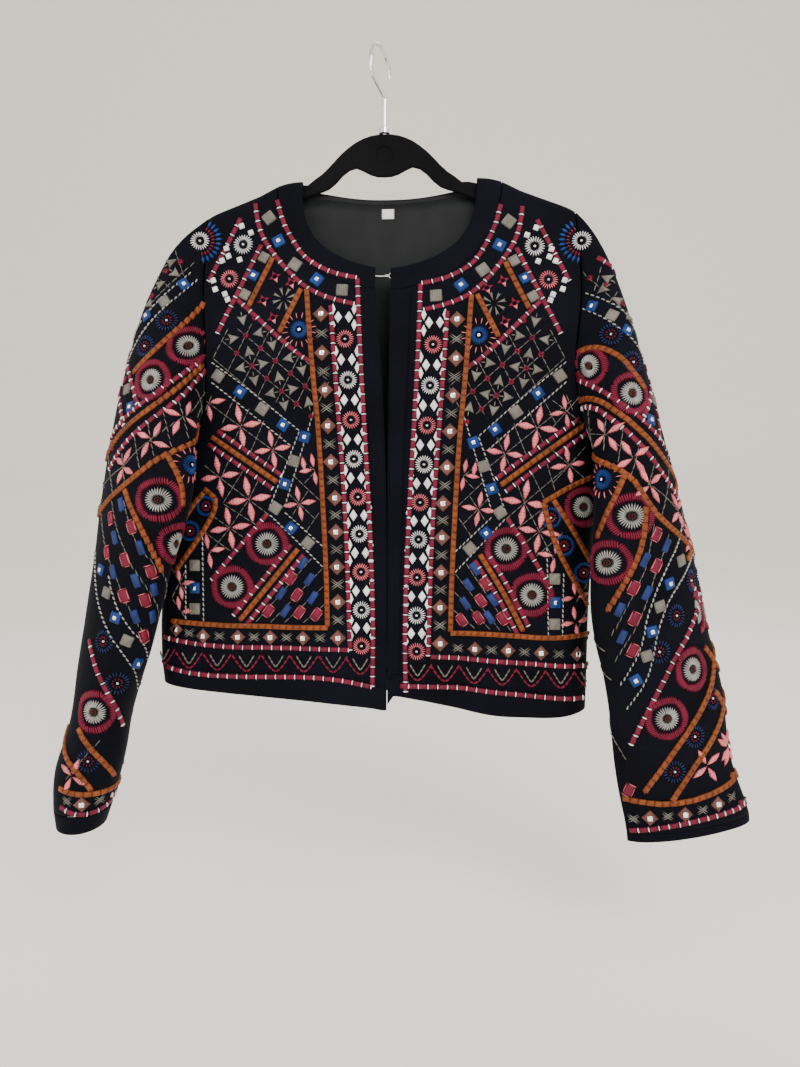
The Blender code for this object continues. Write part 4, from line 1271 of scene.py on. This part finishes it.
# What differs on the right front, charted on its own.
OWN_RINGS = ((550.9, 517.8), (564, 545.9), (583.3, 572.7))
OWN_COUCHES = (
    [(543.3, 502.5), (556, 549.7), (589.2, 605.8)], [(553.5, 500), (573.9, 531.8), (591.7, 562.4)],
    [(543.3, 502.5), (568.8, 487.2), (591.7, 477)],
)
OWN_ROPES = ([(547, 547), (548.4, 636.4)], [(563.7, 572.7), (562.4, 639)])
OWN_SQUARES = ((554.7, 579, 0), (555.5, 602.5, 1), (554.7, 624.2, 0))
OWN_FLOWERS = (
    (575.5, 597, 15, "ulr"), (575.5, 622, 15, "uldr"), (566, 412, 15, "ldu"), (569, 465, 17, "ldru"),
)
OWN_LINES = (
    [(552, 400), (582, 424)], [(580, 396), (552, 428)], [(552, 450), (586, 480)], [(586, 446),
    (552, 484)],
)
OWN_WITHOUT = ((208, 403), (219, 476.5), (180, 584), (180, 612))
OWN_ROSETTE = (583.5, 507)
OWN_TRIPLE = [(586, 424), (542, 455), (501, 485)]
OWN_LADDERS = (
    [(429.7, 656.8), (507.6, 662), (584, 665.8), (603, 664)], [(399, 686), (456.5, 687), (507.6, 693.8),
    (584, 697.7), (603, 695)],
)
OWN_GEMS = ((475, 649), (508, 650.5), (541, 653), (577, 654))
OWN_CROSSES = ((458, 648), (491.5, 650), (524.5, 652), (559, 654))
OWN_SCALLOPS = (
    (417.5, 664), (445, 665), (474, 667), (502.2, 668.5), (531.5, 670), (560.8, 671.5), (589, 672.5),
)


class FrontWork:
    """The embroidery of one front, or of half the back."""

    def __init__(self, needle: Needle, own: Needle | None = None) -> None:
        """Work with a needle, and with one that isn't mirrored for what the right front has of its own."""
        self.needle = needle
        self.own = own

    def work(self) -> None:
        """Work the whole half."""
        self.placket()
        self.neck_yoke()
        self.shoulder()
        self.field()
        self.corner()
        if self.own is None:
            self.side_strip(self.needle, SIDE_ROPES, SIDE_SQUARES, RING_STRIP, RINGS)
            self.hem(self.needle, (HEM_UPPER, HEM_LOWER), HEM_GEMS, HEM_CROSSES, SCALLOPS)
        else:
            self.side_strip(self.own, OWN_ROPES, OWN_SQUARES, OWN_COUCHES, OWN_RINGS)
            self.hem(self.own, OWN_LADDERS, OWN_GEMS, OWN_CROSSES, OWN_SCALLOPS)
            self.own.rosette(OWN_ROSETTE, 19.5)
            for route in OWN_LINES:
                self.own.line(route)
            for x, y, size, petals in OWN_FLOWERS:
                self.own.flower((x, y), size, 0.16, petals)

    def placket(self) -> None:
        """The columns of wheels, diamonds, gems and crosses beside the centre."""
        n = self.needle
        n.ladder(PLACKET_INNER)
        n.ladder(PLACKET_OUTER)
        n.wheel_column(WHEELS)
        n.diamonds((343.5, 317.0))
        n.gem_column(GEMS)
        n.couch(FRAME_LINE)
        n.couch(FRAME_FOOT)

    def neck_yoke(self) -> None:
        """The band of squares round the neck."""
        n = self.needle
        n.ladder(YOKE_UPPER)
        n.ladder(YOKE_LOWER)
        for x, y, blue in YOKE_SQUARES:
            angle = 0.35 + (342.0 - x) * 0.012
            n.square((x, y), Thread.BLUE if blue else Thread.GREY, 11.5, -angle if blue else -angle + 0.3)

    def shoulder(self) -> None:
        """The strip beside the armhole and the fan below the yoke."""
        n = self.needle
        for route in SHOULDER_LADDERS:
            n.ladder(route)
        n.wheel((243.3, 244.6), 10.0, Thread.WHITE)
        n.wheel((229.5, 279.0), 9.5, Thread.PINK)
        for place in SHOULDER_SQUARES:
            n.square(place, Thread.WHITE, 5.2, 0.35)
        for x, y, blue in STRIP_SQUARES:
            n.square((x, y), Thread.BLUE if blue else Thread.GREY, 10.0, 1.05)
        for route in ORANGE_STRIPS:
            n.couch(route)
        for place in ((275.0, 277.0), (263.5, 300.5), (273.0, 318.0), (291.0, 283.0)):
            n.shards(place)
        n.pinwheel((284.0, 299.0))
        n.sunflower((299.2, 329.8))

    def field(self) -> None:
        """The lattice of knots and arrowheads, the roped band and the petal lattices."""
        n = self.needle
        for i in range(-1, 6):
            n.line([lattice_place(i, max(-1.0, -i - 0.7)), lattice_place(i, 2.0 - 0.33 * max(0, i - 2))])
        for j in range(-1, 3):
            n.line([lattice_place(max(-1.0, -0.6 - j), j), lattice_place(4.9 - max(0, j) * 0.5, j)])
        for i, j in KNOTS:
            n.knot(lattice_place(i, j))
        for i, j in ARROW_CELLS:
            even = (i + (i % 2), j + (j % 2))
            self.point_arrow((i + 0.5, j + 0.5), even)
        for route in BAND_ROPES:
            n.rope(route)
        for x, y, blue, angle in BAND_SQUARES:
            n.square((x, y), Thread.BLUE if blue else Thread.GREY, 11.0, -angle)
        for route in LATTICE:
            n.line(route)
        for x, y, size, petals in FLOWERS:
            if self.own is None or (x, y) not in OWN_WITHOUT:
                n.flower((x, y), size, 0.16, petals)
        first, second = BODY_TRIPLES
        n.triple(second, 8.0)
        if self.own is None:
            n.triple(first, 8.0)
        else:
            self.own.triple(OWN_TRIPLE, 8.0)
        n.ladder(BODY_LADDER)
        for place in BODY_ROSETTES:
            n.rosette(place)

    def point_arrow(self, cell: Place, knot: Place) -> None:
        """Put an arrowhead in a cell of the lattice, pointing at a knot."""
        n = self.needle
        a, b = n.at(lattice_place(*cell))
        to_a, to_b = n.at(lattice_place(*knot))
        angle = atan2(to_b - b, to_a - a)
        n.put_arrow((a, b), angle)

    def corner(self) -> None:
        """The bricks in the lower corner and the strips at the side."""
        n = self.needle
        for x, y, edged in BRICKS:
            n.brick((x, y), 0.95, bool(edged), (11.8, 7.6) if edged else (13.4, 6.8))
        for route in BRICK_LINES:
            n.line(route)

    @staticmethod
    def side_strip(n: Needle, ropes: tuple, squares: tuple, couches: tuple, rings: tuple) -> None:
        """The roped squares at the side seam and the strip of rings above them."""
        for route in ropes:
            n.rope(route)
        for x, y, blue in squares:
            n.square((x, y), Thread.BLUE if blue else Thread.GREY, 11.0)
        for route in couches:
            n.couch(route)
        for place in rings:
            n.ring(place)

    @staticmethod
    def hem(n: Needle, ladders: tuple, gems: tuple, crosses: tuple, scallops: tuple) -> None:
        """The row of gems, the ladders and the scallops above the hem."""
        for route in ladders:
            n.ladder(route)
        for place in gems:
            n.gem(place, 10.5)
        for place in crosses:
            n.cross(place, 11.0)
        for place in scallops:
            n.scallop(place)


class BackNeedle(Needle):
    """A needle that lays the front's chart on the back, with its wheels on the centre line."""

    CENTRE = 8.0
    MIDDLE_Z, MIDDLE_DOWN = -453.0, 533.5
    TOP, FOOT = 217.0, 650.0
    LEAN = 16.0
    WIDER_TOP, WIDER_LESS = 1.31, 0.16
    SHORTER = 0.92
    SQUARE_PITCH = 19.0

    def at(self, place: Place) -> Place:
        """Turn a place of the front's chart into a place on the back."""
        across, down = place
        low = part_way(down, self.TOP, self.FOOT)
        wheels = WHEELS[0][0] + self.LEAN * part_way(down, WHEELS[0][1], WHEELS[-1][1])
        off = (wheels - across) * PICTURE_MM * (self.WIDER_TOP - self.WIDER_LESS * low)
        a = self.CENTRE + (off if self.mirror else -off)
        return a, self.MIDDLE_Z - (down - self.MIDDLE_DOWN) * self.SHORTER

    def along(self, places: Route, square: bool) -> None:
        """A ladder line, or a row of squares, through chart places."""
        if not square:
            self.rungs(even_steps(places, LADDER_PITCH))
            return
        for i, (a, b, way) in enumerate(even_steps(places, self.SQUARE_PITCH)):
            self.put(Form.BLOCK, Thread.BLUE if i % 2 else Thread.GREY, (a, b), way, (11.5, 11.5, 1.6))


class BackWork:
    """The embroidery of the back: the front's field on both halves of one centre column."""

    WHEELS_ABOVE = ((345.0, 264.0), (345.0, 301.0))
    GEMS_ABOVE = ((320.0, 277.0),)
    NECK_HALF = 76.0

    def __init__(self, surface: Surface, basket: Workbasket) -> None:
        """Work on the back's surface."""
        self.left = BackNeedle(surface, basket)
        self.right = BackNeedle(surface, basket, True)

    def work(self) -> None:
        """Work the whole back."""
        self.left.wheel_column((*self.WHEELS_ABOVE, *WHEELS))
        for n in (self.left, self.right):
            self.half(n)
        self.neck()

    def half(self, n: BackNeedle) -> None:
        """Work one half of the back."""
        half = FrontWork(n)
        half.shoulder()
        half.field()
        half.corner()
        half.side_strip(n, SIDE_ROPES, SIDE_SQUARES, RING_STRIP, RINGS)
        ladders = ([*HEM_UPPER[:-1], (361.0, 648.5)], [*HEM_LOWER[:-3], (361.0, 677.5)])
        scallops = SCALLOPS if n is self.left else SCALLOPS[:-1]
        half.hem(n, ladders, HEM_GEMS, HEM_CROSSES, scallops)
        n.ladder([(330.0, 248.0), *PLACKET_OUTER])
        n.gem_column((*self.GEMS_ABOVE, *GEMS))
        n.couch([(305.0, 254.0), *FRAME_LINE])
        n.couch(FRAME_FOOT)

    def neck(self) -> None:
        """Two ladder lines and a row of squares below the back of the neck."""
        n = self.left
        for below, square in ((18.0, False), (30.0, True), (42.0, False)):
            route = []
            for i in range(17):
                a = n.CENTRE + self.NECK_HALF * (i / 8 - 1.0)
                b = -110.0
                while b > -260.0 and n.surface.find(a, b) is None:
                    b -= 1.0
                route.append((a, b - below))
            n.along(route, square)


def lattice_place(i: float, j: float) -> Place:
    """A crossing of the knotted lattice."""
    return (
        KNOT_START[0] + i * KNOT_RIGHT[0] + j * KNOT_DOWN[0],
        KNOT_START[1] + i * KNOT_RIGHT[1] + j * KNOT_DOWN[1],
    )


@dataclass(frozen=True)
class SleeveChart:
    """The embroidery of one sleeve as routes and places of the picture."""

    ladders: tuple
    couches: tuple
    ropes: tuple
    lines: tuple
    triples: tuple
    squares: tuple
    rosettes: tuple
    starlets: tuple
    sunflowers: tuple
    flowers: tuple
    bricks: tuple
    gems: tuple
    crosses: tuple
    knots: tuple
    arrows: tuple
    brick_angle: float
    petal_turn: float


LEFT_SLEEVE = SleeveChart(
    ladders=(
        [(127.9, 365), (137.4, 403.9)], [(120, 385), (124, 425)], [(89.5, 637.8), (98.5, 670.8),
        (122.4, 724.7)], [(60, 806), (88, 816.2), (118, 803)],
    ),
    couches=(
        [(204.5, 309), (176, 331.5), (150.3, 355.7), (134, 373)], [(207.9, 429.5), (168.9, 452),
        (130, 483.4), (104.5, 505.9)], [(167.4, 455), (180.9, 482), (182.4, 505.9)], [(125.4, 489.4),
        (143.4, 529.9), (161.4, 571.8)], [(79, 728), (94, 751.7), (114, 774.7)], [(65.5, 748.7),
        (79, 772.7), (91, 790)], [(60, 788), (82, 795.2), (118, 782)],
    ),
    ropes=(
        [(191.6, 272), (143.4, 306.6)], [(198.5, 279), (133, 341)], [(95.5, 574.8), (111.9, 634.8),
        (137, 690)], [(109, 574.8), (121, 616.8), (147, 668)],
    ),
    lines=(
        [(112, 500), (124, 548), (158, 622)], [(124, 500), (138, 545), (164, 605)], [(102, 520),
        (116, 574), (146, 640)], [(195, 262), (150, 292)], [(176, 250), (184, 276)], [(160, 262),
        (170, 288)], [(214, 397), (182.9, 417.5), (151, 439.8), (123.9, 466.6), (108, 480)],
        [(195.4, 389), (203.4, 423)], [(178.4, 399.6), (188.2, 439)], [(163.2, 410.4), (172, 448)],
        [(148, 422), (154.3, 456.8)], [(134.6, 435.4), (140, 469)], [(122, 453), (125.7, 487)],
        [(110.5, 474.6), (113.2, 494.3)], [(66, 780), (100, 740)],
    ),
    triples=([(209, 367), (176, 390), (146.8, 413), (112, 447)],),
    squares=(
        (164.9, 301.4, 0, 0.6), (146.8, 316, 1, 0.6), (183.9, 284.2, 1, 0.6), (127, 389.2, 0, 0.2),
        (130.5, 407, 1, 0.2), (100.9, 569.7, 1, -0.3), (106.8, 592.8, 0, -0.3), (115.5, 617.7, 1, -0.3),
        (127, 640.8, 0, -0.4), (137.5, 663.3, 1, -0.4),
    ),
    rosettes=((188.2, 346.2), (150.3, 380), (157.8, 499.9), (176, 544), (93.4, 712.1)),
    starlets=((166.6, 320.4), (145, 346.2), (103.5, 641.4), (117.3, 683.4), (88, 761.3)),
    sunflowers=((191.4, 464.8),),
    flowers=((182.9, 417.5), (150.9, 439.7), (123.8, 466), (72, 776)),
    bricks=(
        (121.5, 504.4, 0), (115, 537.4, 0), (140.4, 547.9, 0), (113.4, 571.8, 0), (135.9, 580.8, 0),
        (135.3, 616.8, 0), (153.9, 589.8, 0), (152.4, 616.8, 0), (111, 518.5, 1), (131.4, 526.9, 1),
        (125.4, 559.9, 1), (150.9, 571.8, 1), (107.4, 552.4, 1), (123.9, 595.8, 1), (144.9, 600.3, 1),
        (144.3, 636.3, 1),
    ),
    gems=((82, 804.5),),
    crosses=((67, 801), (100, 799.7)),
    knots=((180.4, 261.8), (165.8, 271.3), (152, 281)),
    arrows=((172, 262, 0.6), (176, 274, -0.6), (161, 284, 0.6), (150, 291, -0.6)),
    brick_angle=1.9,
    petal_turn=-0.47,
)

RIGHT_SLEEVE = SleeveChart(
    ladders=(
        [(596, 257), (612, 268)], [(650, 372), (644.2, 416)], [(655, 385), (660, 440)], [(700.2, 591.2),
        (682.4, 640.2), (658, 689.2), (631, 744.2)], [(628, 830), (682.4, 823.8), (745, 801)],
    ),
    couches=(
        [(567.5, 342), (596.8, 345.8), (619.8, 356), (630, 368.8), (644, 389)], [(589.6, 452.4),
        (626.3, 469.8), (645.7, 500.4), (662, 522.9), (694.7, 557.6)], [(626.3, 471.8), (609, 510.6),
        (597.8, 537)], [(645.7, 506.5), (641.6, 553.5), (607, 610.6)], [(716.7, 652.4), (706.9, 695.3),
        (676.3, 747.3), (644.2, 791.7)], [(725.3, 704.5), (697.7, 759.5), (671.7, 800.9)],
        [(622, 808.5), (682.4, 805.5), (742, 788)],
    ),
    ropes=(
        [(579, 297.3), (602, 298.6), (630, 319)], [(576.4, 312.7), (604.5, 317.8), (630, 338),
        (645, 357)], [(677.8, 542.2), (664, 569.8), (647.2, 612.6), (642, 649.4), (619.7, 686)],
        [(691.6, 548.4), (673.3, 588), (658, 624.9), (650, 676.9), (625.8, 710)],
    ),
    lines=(
        [(654, 524), (645, 570), (611, 636)], [(668, 534), (655, 575), (640, 620), (614, 662)],
        [(582, 278), (628, 308)], [(602, 266), (594, 292)], [(618, 278), (608, 304)], [(578.4, 427),
        (606.5, 434.7), (633.5, 457.6), (649.8, 485.1), (677.3, 510.6), (694, 534)], [(588.6, 408.6),
        (584.5, 447.3)], [(606, 412.7), (604, 451.4)], [(623.3, 425), (618, 463)], [(640, 440),
        (630, 478)], [(655, 458), (642, 500)], [(668, 480), (660, 518)], [(684, 500), (680, 536)],
        [(590, 640), (606, 652)], [(596, 668), (612, 680)], [(605, 720), (626, 760)],
    ),
    triples=(
        [(570.2, 393.3), (596.7, 397.3), (621.2, 414.7), (645.7, 437.1), (666, 464), (678.4, 482)],
    ),
    squares=(
        (591.7, 306.3, 1, -0.3), (612, 315.2, 0, -0.6), (627.4, 330.5, 1, -0.6), (653, 400, 0, -0.2),
        (650.5, 420, 1, -0.2), (681, 560.6, 0, 0.3), (669.5, 583.5, 1, 0.3), (660, 606.5, 0, 0.3),
        (652, 631.6, 1, 0.2), (647, 656, 0, 0.3), (636, 680.4, 1, 0.5),
    ),
    rosettes=(
        (589.2, 366.2), (632.4, 393.5), (631.8, 516.3), (607.3, 562.7), (710, 615.7), (692.2, 669.3),
        (667.1, 718.8),
    ),
    starlets=(
        (610.9, 334.3), (633, 362.2), (691, 580.5), (676.3, 615.7), (659.3, 651.8), (712.4, 698.3),
        (694.7, 736.6), (674.8, 771.8),
    ),
    sunflowers=((602.2, 479.5),),
    flowers=(
        (606.5, 434.7), (633.5, 457.6), (649.8, 485.1), (677.3, 510.6), (688.6, 539), (706.9, 765.7),
        (726.8, 747.3),
    ),
    bricks=(
        (666.2, 545.3, 0), (619.7, 609.6, 0), (622, 637, 0), (656.4, 534.6, 1), (656.4, 565.8, 1),
        (633.5, 588, 1), (634.4, 618.8, 1), (632.8, 650.5, 1), (628.9, 790.2, 1), (645, 560, 0),
        (647, 593, 0),
    ),
    gems=((684.9, 814.3), (717.6, 803.9), (650, 818)),
    crosses=((667.6, 816.2), (702.3, 810), (633.5, 818.7), (731.3, 796.8)),
    knots=((589.7, 278.2), (605.8, 285.1), (622.3, 292.2)),
    arrows=((606, 278, 2.5), (602, 290, 3.7), (617, 300, 2.5), (628, 307, 3.7)),
    brick_angle=1.1,
    petal_turn=0.6,
)


class SleeveWork:
    """The embroidery of one sleeve's front, or the same mirrored on its back."""

    def __init__(self, needle: Needle, chart: SleeveChart) -> None:
        """Work a chart with a needle."""
        self.needle = needle
        self.chart = chart

    def work(self) -> None:
        """Work the whole chart."""
        n, c = self.needle, self.chart
        for make, routes in (
            (n.ladder, c.ladders),
            (n.couch, c.couches),
            (n.rope, c.ropes),
            (n.line, c.lines),
        ):
            for route in routes:
                make(route)
        for route in c.triples:
            n.triple(route, 9.0)
        for x, y, blue, angle in c.squares:
            n.square((x, y), Thread.BLUE if blue else Thread.GREY, 10.5, angle)
        for place in c.rosettes:
            n.rosette(place, 20.5)
        for place in c.starlets:
            n.starlet(place)
        for place in c.sunflowers:
            n.sunflower(place)
        for place in c.flowers:
            n.flower(place, 17.5, c.petal_turn)
        for x, y, edged in c.bricks:
            n.brick((x, y), c.brick_angle, bool(edged), (11.8, 7.6) if edged else (13.4, 6.8))
        for place in c.gems:
            n.gem(place, 10.5)
        for place in c.crosses:
            n.cross(place, 10.0)
        for place in c.knots:
            n.knot(place)
        for x, y, angle in c.arrows:
            n.arrow((x, y), angle)


def shoulder_wheel(n: Needle, place: Place, to_right: bool) -> None:
    """The white wheel with crimson spokes and blue petals at the armhole's top."""
    n.wheel(place, 9.6, Thread.WHITE)
    a, b = n.at(place)
    inward = 1.0 if to_right else -1.0
    for i in range(11):
        turn = -1.4 + 2.45 * i / 10
        way = (cos(turn) * inward, sin(turn))
        angle = atan2(way[1], way[0])
        n.put(Form.STITCH, Thread.CRIMSON, (a + way[0] * 12.6, b + way[1] * 12.6), angle, (5.0, 2.0, 1.3))
        n.put(Form.LEAF, Thread.BLUE, (a + way[0] * 18.0, b + way[1] * 18.0), angle, (8.4, 3.4, 1.4))


DIAMOND_OUTLINE = [(0.5, 0.0), (0.0, 0.5), (-0.5, 0.0), (0.0, -0.5)]


@dataclass
class StitchForms:
    """The few plain meshes that every stitch is an instance of, one unit long, wide and high."""

    made: dict[Form, bpy.types.Object] = field(default_factory=dict)

    def build(self) -> None:
        """Build all the forms."""
        for form, outline, tiers, strands_across in (
            (Form.BLOCK, rounded_square(0.07), ((1.0, 0.0), (0.84, 1.0)), True),
            (Form.STITCH, oval(6), ((1.0, 0.0), (0.62, 1.0)), False),
            (Form.LEAF, leaf(), ((1.0, 0.0), (0.62, 1.0)), True),
            (Form.BEAD, oval(8), ((1.0, 0.0), (0.85, 0.7), (0.35, 1.0)), False),
            (Form.DIAMOND, DIAMOND_OUTLINE, ((1.0, 0.0), (0.78, 1.0)), True),
            (Form.WEDGE, wedge(), ((1.0, 0.0), (0.72, 1.0)), True),
            (Form.MIRROR, rounded_square(0.12), ((1.0, 0.0), (1.0, 0.85), (0.86, 1.0)), False),
        ):
            self.made[form] = self.dome(form, outline, tiers, strands_across)

    @staticmethod
    def dome(form: Form, outline: Route, tiers: tuple, across: bool) -> bpy.types.Object:
        """A closed low dome on an outline, with its grain for the strands of thread."""
        mesh = bmesh.new()
        grain = mesh.verts.layers.float_vector.new("grain")
        rings = []
        for scale, height in tiers:
            ring = []
            for x, y in outline:
                vert = mesh.verts.new((x * scale, y * scale, height))
                vert[grain] = Vector((x * scale * 2.2 if across else y * scale * 0.9, 0.0, 0.0))
                ring.append(vert)
            rings.append(ring)
        count = len(outline)
        for low, high in zip(rings, rings[1:]):
            for i in range(count):
                j = (i + 1) % count
                mesh.faces.new((low[i], low[j], high[j], high[i]))
        mesh.faces.new(rings[-1])
        mesh.faces.new(rings[0][::-1])
        bmesh.ops.triangulate(mesh, faces=[f for f in mesh.faces if len(f.verts) > 4])
        data = bpy.data.meshes.new(form.value + "_form")
        mesh.to_mesh(data)
        mesh.free()
        data.shade_smooth()
        made = bpy.data.objects.new(form.value + "_form", data)
        bpy.context.collection.objects.link(made)
        return made

    def clear(self) -> None:
        """Remove the forms when every stitch is made."""
        for made in self.made.values():
            data = made.data
            bpy.data.objects.remove(made)
            bpy.data.meshes.remove(data)


def oval(count: int) -> Route:
    """An oval outline of unit size."""
    return [(cos(2 * pi * i / count) * 0.5, sin(2 * pi * i / count) * 0.5) for i in range(count)]


def rounded_square(cut: float) -> Route:
    """A square outline of unit size with its corners cut."""
    a, b = 0.5, 0.5 - cut
    return [(a, -b), (a, b), (b, a), (-b, a), (-a, b), (-a, -b), (-b, -a), (b, -a)]


def leaf() -> Route:
    """A pointed leaf outline of unit size."""
    places = [(0.5, 0.0), (0.3, 0.27), (0.0, 0.5), (-0.3, 0.27), (-0.5, 0.0)]
    return places + [(x, -y) for x, y in places[-2:0:-1]]


def wedge() -> Route:
    """An arrowhead outline of unit size that points along +X."""
    return [(0.5, 0.0), (-0.1, 0.3), (-0.5, 0.5), (-0.36, 0.0), (-0.5, -0.5), (-0.1, -0.3)]


class StitchTree:
    """The node tree that sets a form at every point, at its turn and size."""

    INPUTS = (("Form", "NodeSocketObject"), ("Finish", "NodeSocketMaterial"), ("Scale", "NodeSocketFloat"))

    def __init__(self) -> None:
        """Build the tree."""
        tree = bpy.data.node_groups.new("set_stitches", "GeometryNodeTree")
        self.tree = tree
        ends = tree.interface
        ends.new_socket("Geometry", in_out="INPUT", socket_type="NodeSocketGeometry")
        self.keys = {}
        for name, kind in self.INPUTS:
            socket = ends.new_socket(name, in_out="INPUT", socket_type=kind)
            self.keys[name] = socket.identifier
        ends.new_socket("Geometry", in_out="OUTPUT", socket_type="NodeSocketGeometry")
        nodes, links = tree.nodes, tree.links
        given = nodes.new("NodeGroupInput")
        form = nodes.new("GeometryNodeObjectInfo")
        links.new(given.outputs["Form"], form.inputs["Object"])
        turn = self.attribute(nodes, "turn")
        size = self.attribute(nodes, "size")
        scale = nodes.new("ShaderNodeVectorMath")
        scale.operation = "SCALE"
        links.new(size.outputs[0], scale.inputs[0])
        links.new(given.outputs["Scale"], scale.inputs["Scale"])
        place = nodes.new("GeometryNodeInstanceOnPoints")
        links.new(given.outputs["Geometry"], place.inputs["Points"])
        links.new(form.outputs["Geometry"], place.inputs["Instance"])
        links.new(turn.outputs[0], place.inputs["Rotation"])
        links.new(scale.outputs[0], place.inputs["Scale"])
        real = nodes.new("GeometryNodeRealizeInstances")
        finish = nodes.new("GeometryNodeSetMaterial")
        out = nodes.new("NodeGroupOutput")
        links.new(place.outputs["Instances"], real.inputs["Geometry"])
        links.new(real.outputs["Geometry"], finish.inputs["Geometry"])
        links.new(given.outputs["Finish"], finish.inputs["Material"])
        links.new(finish.outputs["Geometry"], out.inputs["Geometry"])

    @staticmethod
    def attribute(nodes: bpy.types.Nodes, name: str) -> bpy.types.Node:
        """Add a node that reads a vector of each point."""
        node = nodes.new("GeometryNodeInputNamedAttribute")
        node.data_type = "FLOAT_VECTOR"
        node.inputs["Name"].default_value = name
        return node

    def run(
        self, name: str, spots: list[Spot], form: bpy.types.Object, finish: bpy.types.Material
    ) -> bpy.types.Object:
        """Turn a list of stitches into one plain mesh piece.

        Args:
            name: the piece's name.
            spots: its stitches.
            form: the mesh that each stitch is an instance of.
            finish: the thread's material.

        Returns:
            The piece, with its node tree applied.
        """
        data = bpy.data.meshes.new(name + "_points")
        data.from_pydata([spot.point for spot in spots], [], [])
        for key in ("turn", "size"):
            layer = data.attributes.new(key, "FLOAT_VECTOR", "POINT")
            values = [value for spot in spots for value in getattr(spot, key)]
            layer.data.foreach_set("vector", values)
        points = bpy.data.objects.new(name + "_points", data)
        bpy.context.collection.objects.link(points)
        modifier = points.modifiers.new("stitches", "NODES")
        modifier.node_group = self.tree
        modifier[self.keys["Form"]] = form
        modifier[self.keys["Finish"]] = finish
        modifier[self.keys["Scale"]] = MM
        made = to_plain_mesh(points, name)
        for key in ("turn", "size"):
            layer = made.data.attributes.get(key)
            if layer is not None:
                made.data.attributes.remove(layer)
        return made


@dataclass
class Embroidery:
    """All the stitched work, on the body's two faces and on both sleeves."""

    tailor: Tailor
    studio: Studio
    basket: Workbasket = field(default_factory=Workbasket)

    def work(self) -> None:
        """Set every stitch."""
        made = self.tailor.made
        for side in ("left", "right"):
            mirror = side == "right"
            pieces = [made[f"front_{side}"], made[f"front_band_{side}"], made["hem_band"], made["neck_band"]]
            self.basket.region = f"front_{side}"
            flat = Flat(pieces, self.studio, True)
            own = Needle(flat, self.basket) if mirror else None
            FrontWork(Needle(flat, self.basket, mirror), own).work()
            both = Flat([made[f"sleeve_{side}"], made[f"front_{side}"]], self.studio, True)
            top = (581.5, 240.7) if mirror else (200.0, 241.0)
            shoulder_wheel(Needle(both, self.basket), top, not mirror)
            chart = RIGHT_SLEEVE if mirror else LEFT_SLEEVE
            for behind in (False, True):
                self.basket.region = f"sleeve_{side}" + ("_behind" if behind else "")
                tube = Tube([made[f"sleeve_{side}"], made[f"cuff_{side}"]], self.studio, behind)
                SleeveWork(Needle(tube, self.basket), chart).work()
        self.basket.region = "back"
        pieces = [made["back"], made["hem_band"], made["neck_band"]]
        BackWork(Flat(pieces, self.studio, False), self.basket).work()

    def finish(self) -> None:
        """Turn the stitches into pieces, one for each region, thread and form."""
        forms = StitchForms()
        forms.build()
        tree = StitchTree()
        total = 0
        in_order = sorted(self.basket.spots.items(), key=lambda item: str(item[0]))
        for (region, finish, form), spots in in_order:
            name = f"{region}_{finish}_{form.value}"
            made = tree.run(name, spots, forms.made[form], bpy.data.materials[finish])
            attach(made, "root")
            count = sum(len(face.vertices) - 2 for face in made.data.polygons)
            total += count
            log.info("%s: %d stitches, %d triangles", name, len(spots), count)
        log.info("embroidery: %d triangles", total)
        forms.clear()


CLOTH = (
    ClothPiece("front_left", (0.22, 0.47), 0.075),
    ClothPiece("front_right", (0.22, 0.47), 0.074),
    ClothPiece("front_band_left", (0.0145, 0.37), 0.0052),
    ClothPiece("front_band_right", (0.0145, 0.37), 0.0051),
    ClothPiece("back", (0.43, 0.48), 0.169),
    ClothPiece("neck_band", (0.44, 0.025), 0.0105),
    ClothPiece("hem_band", (0.84, 0.0215), 0.0177),
    ClothPiece("sleeve_left", (0.30, 0.58), 0.113),
    ClothPiece("sleeve_right", (0.30, 0.58), 0.115),
    ClothPiece("cuff_left", (0.205, 0.014), 0.0027),
    ClothPiece("cuff_right", (0.205, 0.01), 0.0019),
    ClothPiece(
        "back_lining", (0.33, 0.44), 0.128, finish="jacket_lining", slot="lining", rests_on="back_cloth"
    ),
    ClothPiece(
        "label",
        (0.0115, 0.0105),
        0.0001,
        finish="label_cloth",
        slot="label",
        rests_on="back_lining_cloth",
        held=Held.LAID,
    ),
)


def dress_hanger() -> None:
    """Give the hanger and the fastening their finishes."""
    for node, finish in (
        ("hanger_body", "hanger_flocking"),
        ("hanger_collar", "hanger_steel"),
        ("hanger_hook", "hanger_steel"),
        ("closure_hook", "hanger_steel"),
        ("closure_eye", "hanger_steel"),
    ):
        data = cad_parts[node].data
        if data.materials:
            data.materials[0] = bpy.data.materials[finish]
        else:
            data.materials.append(bpy.data.materials[finish])


def main() -> None:
    """Build the scene in order."""
    logging.basicConfig(level=logging.INFO, format="%(name)s: %(message)s")
    for finish in (JACKET_VELVET, HANGER_FLOCK, JACKET_LINING, LABEL_CLOTH, STEEL, MIRROR):
        finish.make()
    for thread in Thread:
        Floss(thread).make()
    studio = Studio()
    studio.set_up()
    tailor = Tailor()
    for piece in CLOTH:
        made = tailor.make(piece)
        area = sum(face.area for face in made.data.polygons) / 2
        log.info("%s: %d faces, %.4f square metres", made.name, len(made.data.polygons), area)
    dress_hanger()
    embroidery = Embroidery(tailor, studio)
    embroidery.work()
    embroidery.finish()


if __name__ == "__main__":
    main()
